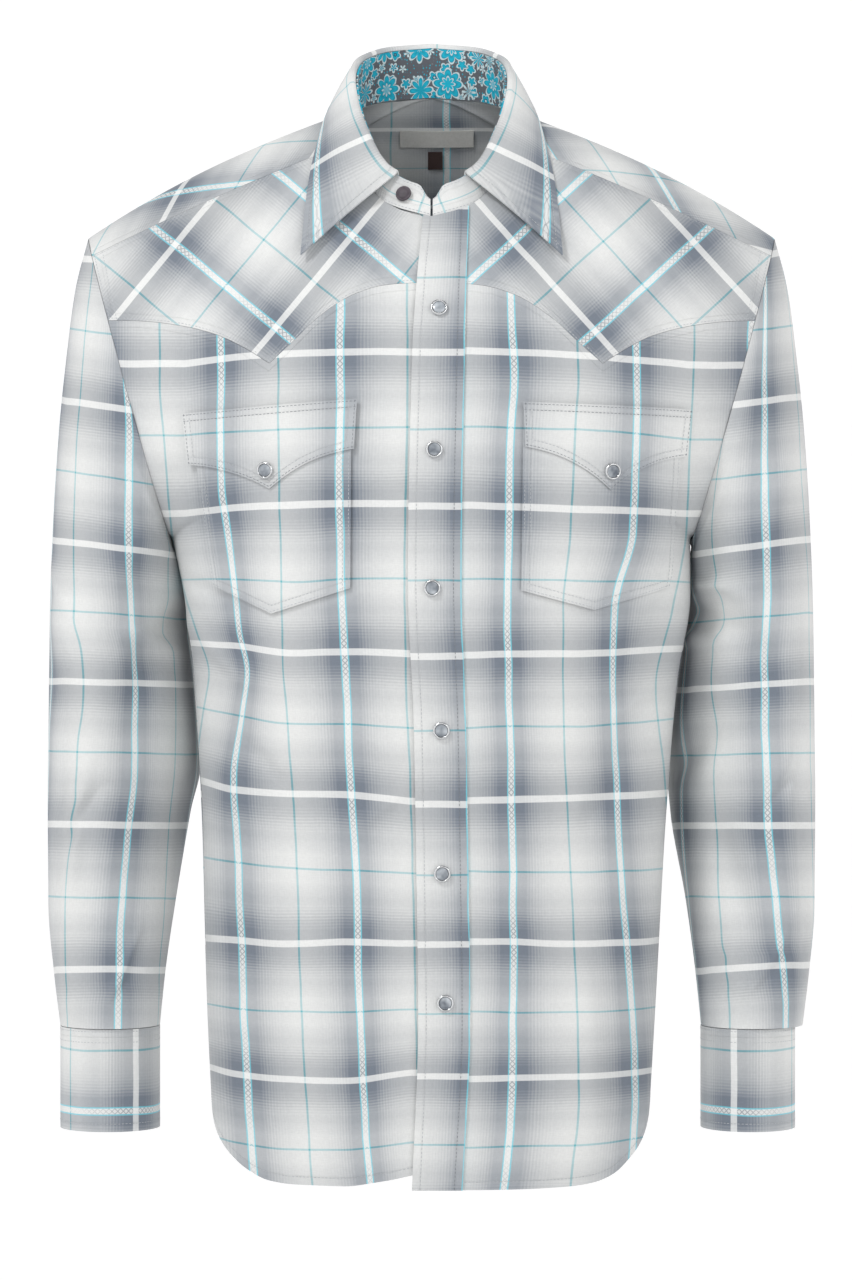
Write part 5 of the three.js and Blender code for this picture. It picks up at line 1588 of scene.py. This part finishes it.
# Stitching
for word in ("right", "left"):
    yoke = patches[f"{word}_front_yoke"]
    stitch_edge(yoke, "bottom", 1.6)
    stitch_edge(yoke, "top", 1.6)
    stitch_edge(yoke, "right", 1.8)
    stitch_edge(yoke, "right", 8.0)
    stitch_edge(patches[f"{word}_front"], "bottom", 5.5)
    pocket = patches[f"{word}_pocket"]
    flap = patches[f"{word}_flap"]
    # Stitches in slot 1 use the darker thread; on the flaps it paints the shadow along the top seam and the edges
    for distance in (1.4, 5.5):
        for edge in ("left", "right", "bottom"):
            stitch_edge(pocket, edge, distance)
        stitch_edge(flap, "top", distance, slot=1)
    for edge in ("left", "right", "bottom"):
        stitch_edge(flap, edge, 1.4, slot=1)
        stitch_edge(flap, edge, 5.5)
    cuff = patches[f"{word}_cuff"]
    for edge, distance in (("top", 1.6), ("top", 9.0), ("bottom", 5.5), ("left", 5.5), ("right", 5.5)):
        stitch_edge(cuff, edge, distance)
    band = patches[f"{word}_sleeve_placket"]
    for edge in ("left", "right", "top"):
        stitch_edge(band, edge, 1.6)
stitch_edge(patches["placket"], "left", 5.5)
stitch_edge(patches["placket"], "right", 5.5, slot=1)
for edge in ("left", "right", "bottom"):
    stitch_edge(patches["collar"], edge, 5.5)
stitch_edge(patches["collar_stand"], "bottom", 1.6)
stitch_edge(patches["collar_stand"], "top", 1.6, 0.0, 0.06)
stitch_edge(patches["collar_stand"], "top", 1.6, 0.94, 1.0)
for half in yoke_halves:
    stitch_edge(half, "bottom", 1.6)
for half in back_halves:
    stitch_edge(half, "bottom", 5.5)
stitches = plain_mesh("topstitching", stitch_points, stitch_faces, [thread, dark_thread_and_edge_shade], stitch_slots, False)

# The cut of what shows of each piece, in metres
CUTS = {
    "right_front": (0.245, 0.615, "hung", 0.91),
    "left_front": (0.245, 0.615, "hung", 0.91),
}
SOFT = []


def sheet_size(name, parts):
    """Width and length of a piece's patches, and its flat area, in metres."""
    width = sum(arc(patch.p, 1)[:, -1].max() for patch in parts)
    length = max(arc(patch.p, 0)[-1].max() for patch in parts)
    area = 0.0
    for patch in parts:
        p = patch.p
        a = np.cross(p[1:, 1:] - p[:-1, :-1], p[1:, :-1] - p[:-1, 1:])
        area += np.linalg.norm(a, axis=-1).sum() / 2
    print("CUT", name, round(width), round(length), round(area * 1e-6, 5))
    return width * MM, length * MM, area * 1e-6


all_parts = {name: [patch] for name, patch in patches.items()}
all_parts.update(back_yoke=yoke_halves, back=back_halves, stand_facing=[facing])
for name, parts in all_parts.items():
    width, length, area = sheet_size(name, parts)

# Camera, light and floor
FRAME_HEIGHT = 896.0
SENSOR = 36.0
CAMERA_X = -3.5
CAMERA_Z = -343.0
camera = bpy.data.cameras.new("camera")
camera.sensor_fit = "VERTICAL"
camera.sensor_height = SENSOR
camera.lens = SENSOR * VIEW_DISTANCE / FRAME_HEIGHT
camera.clip_end = 50.0
view = bpy.data.objects.new("camera", camera)
view.location = (CAMERA_X * MM, -VIEW_DISTANCE * MM, CAMERA_Z * MM)
view.rotation_euler = (math.radians(90), 0, 0)
bpy.context.collection.objects.link(view)
bpy.context.scene.camera = view


def area_light(name, place, target, size, power):
    data = bpy.data.lights.new(name, "AREA")
    data.shape = "DISK"
    data.size = size
    data.energy = power
    obj = bpy.data.objects.new(name, data)
    direction = np.array(target) - np.array(place)
    flat = math.hypot(direction[0], direction[1])
    obj.location = place
    obj.rotation_euler = (math.pi / 2 - math.atan2(-direction[2], flat), 0, math.atan2(-direction[0], direction[1]))
    bpy.context.collection.objects.link(obj)


area_light("key", (-1.4, -1.9, 1.95), (0, 0, -0.15), 0.8, 36)
area_light("fill", (2.0, -2.3, 0.9), (0, 0, -0.2), 1.4, 10)
area_light("top", (0.2, 0.2, 2.2), (0, 0, -0.3), 1.2, 8)
area_light("behind", (0.4, 2.6, 0.8), (0, 0, -0.35), 1.8, 12)

BOWL_RADIUS = 7.0
BOWL_CURVE = 2.5
FLOOR_Z = -1.35
bowl_points, bowl_faces = [(0.0, 0.0, FLOOR_Z)], []
profile = [(1.5, 0.0), (3.0, 0.0), (BOWL_RADIUS - BOWL_CURVE, 0.0)]
for k in range(1, 13):
    a = k / 12 * math.pi / 2
    profile.append((BOWL_RADIUS - BOWL_CURVE + BOWL_CURVE * math.sin(a), BOWL_CURVE * (1 - math.cos(a))))
profile.append((BOWL_RADIUS, 6.0))
SPOKES = 64
for radius, height in profile:
    for i in range(SPOKES):
        a = 2 * math.pi * i / SPOKES
        bowl_points.append((radius * math.cos(a), radius * math.sin(a), FLOOR_Z + height))
for i in range(SPOKES):
    k = (i + 1) % SPOKES
    bowl_faces.append((0, 1 + i, 1 + k))
    for r in range(len(profile) - 1):
        a = 1 + r * SPOKES
        bowl_faces.append((a + i, a + SPOKES + i, a + SPOKES + k, a + k))
bowl_mesh = bpy.data.meshes.new("floor")
bowl_mesh.from_pydata(bowl_points, [], bowl_faces)
bowl_mesh.polygons.foreach_set("use_smooth", [True] * len(bowl_faces))
floor = bpy.data.objects.new("floor", bowl_mesh)
bpy.context.collection.objects.link(floor)
paper = bpy.data.materials.new("paper")
paper.use_nodes = True
paper_shader = paper.node_tree.nodes["Principled BSDF"]
paper_shader.inputs["Base Color"].default_value = (0.36, 0.36, 0.36, 1)
paper_shader.inputs["Roughness"].default_value = 0.9
paper_shader.inputs["Emission Color"].default_value = (1, 1, 1, 1)
paper_nodes = paper.node_tree.nodes
# The backdrop's glow is dimmed towards the middle, under the shirt: a painted shadow pool that also dims the light
# thrown up at the hem
paper_place = paper_nodes.new("ShaderNodeTexCoord")
paper_away = paper_nodes.new("ShaderNodeVectorMath")
paper_away.operation = "LENGTH"
paper_glow_shadow_pool = paper_nodes.new("ShaderNodeMapRange")
paper_glow_shadow_pool.interpolation_type = "SMOOTHSTEP"
for entry, value in (("From Min", 1.6), ("From Max", 3.6), ("To Min", 0.45), ("To Max", 0.76)):
    paper_glow_shadow_pool.inputs[entry].default_value = value
paper.node_tree.links.new(paper_place.outputs["Object"], paper_away.inputs[0])
paper.node_tree.links.new(paper_away.outputs["Value"], paper_glow_shadow_pool.inputs["Value"])
paper.node_tree.links.new(paper_glow_shadow_pool.outputs["Result"], paper_shader.inputs["Emission Strength"])
bowl_mesh.materials.append(paper)

world = bpy.data.worlds.new("studio")
world.use_nodes = True
world.node_tree.nodes["Background"].inputs["Color"].default_value = (1, 1, 1, 1)
world.node_tree.nodes["Background"].inputs["Strength"].default_value = 0.12
bpy.context.scene.world = world
bpy.context.scene.view_settings.view_transform = "Standard"
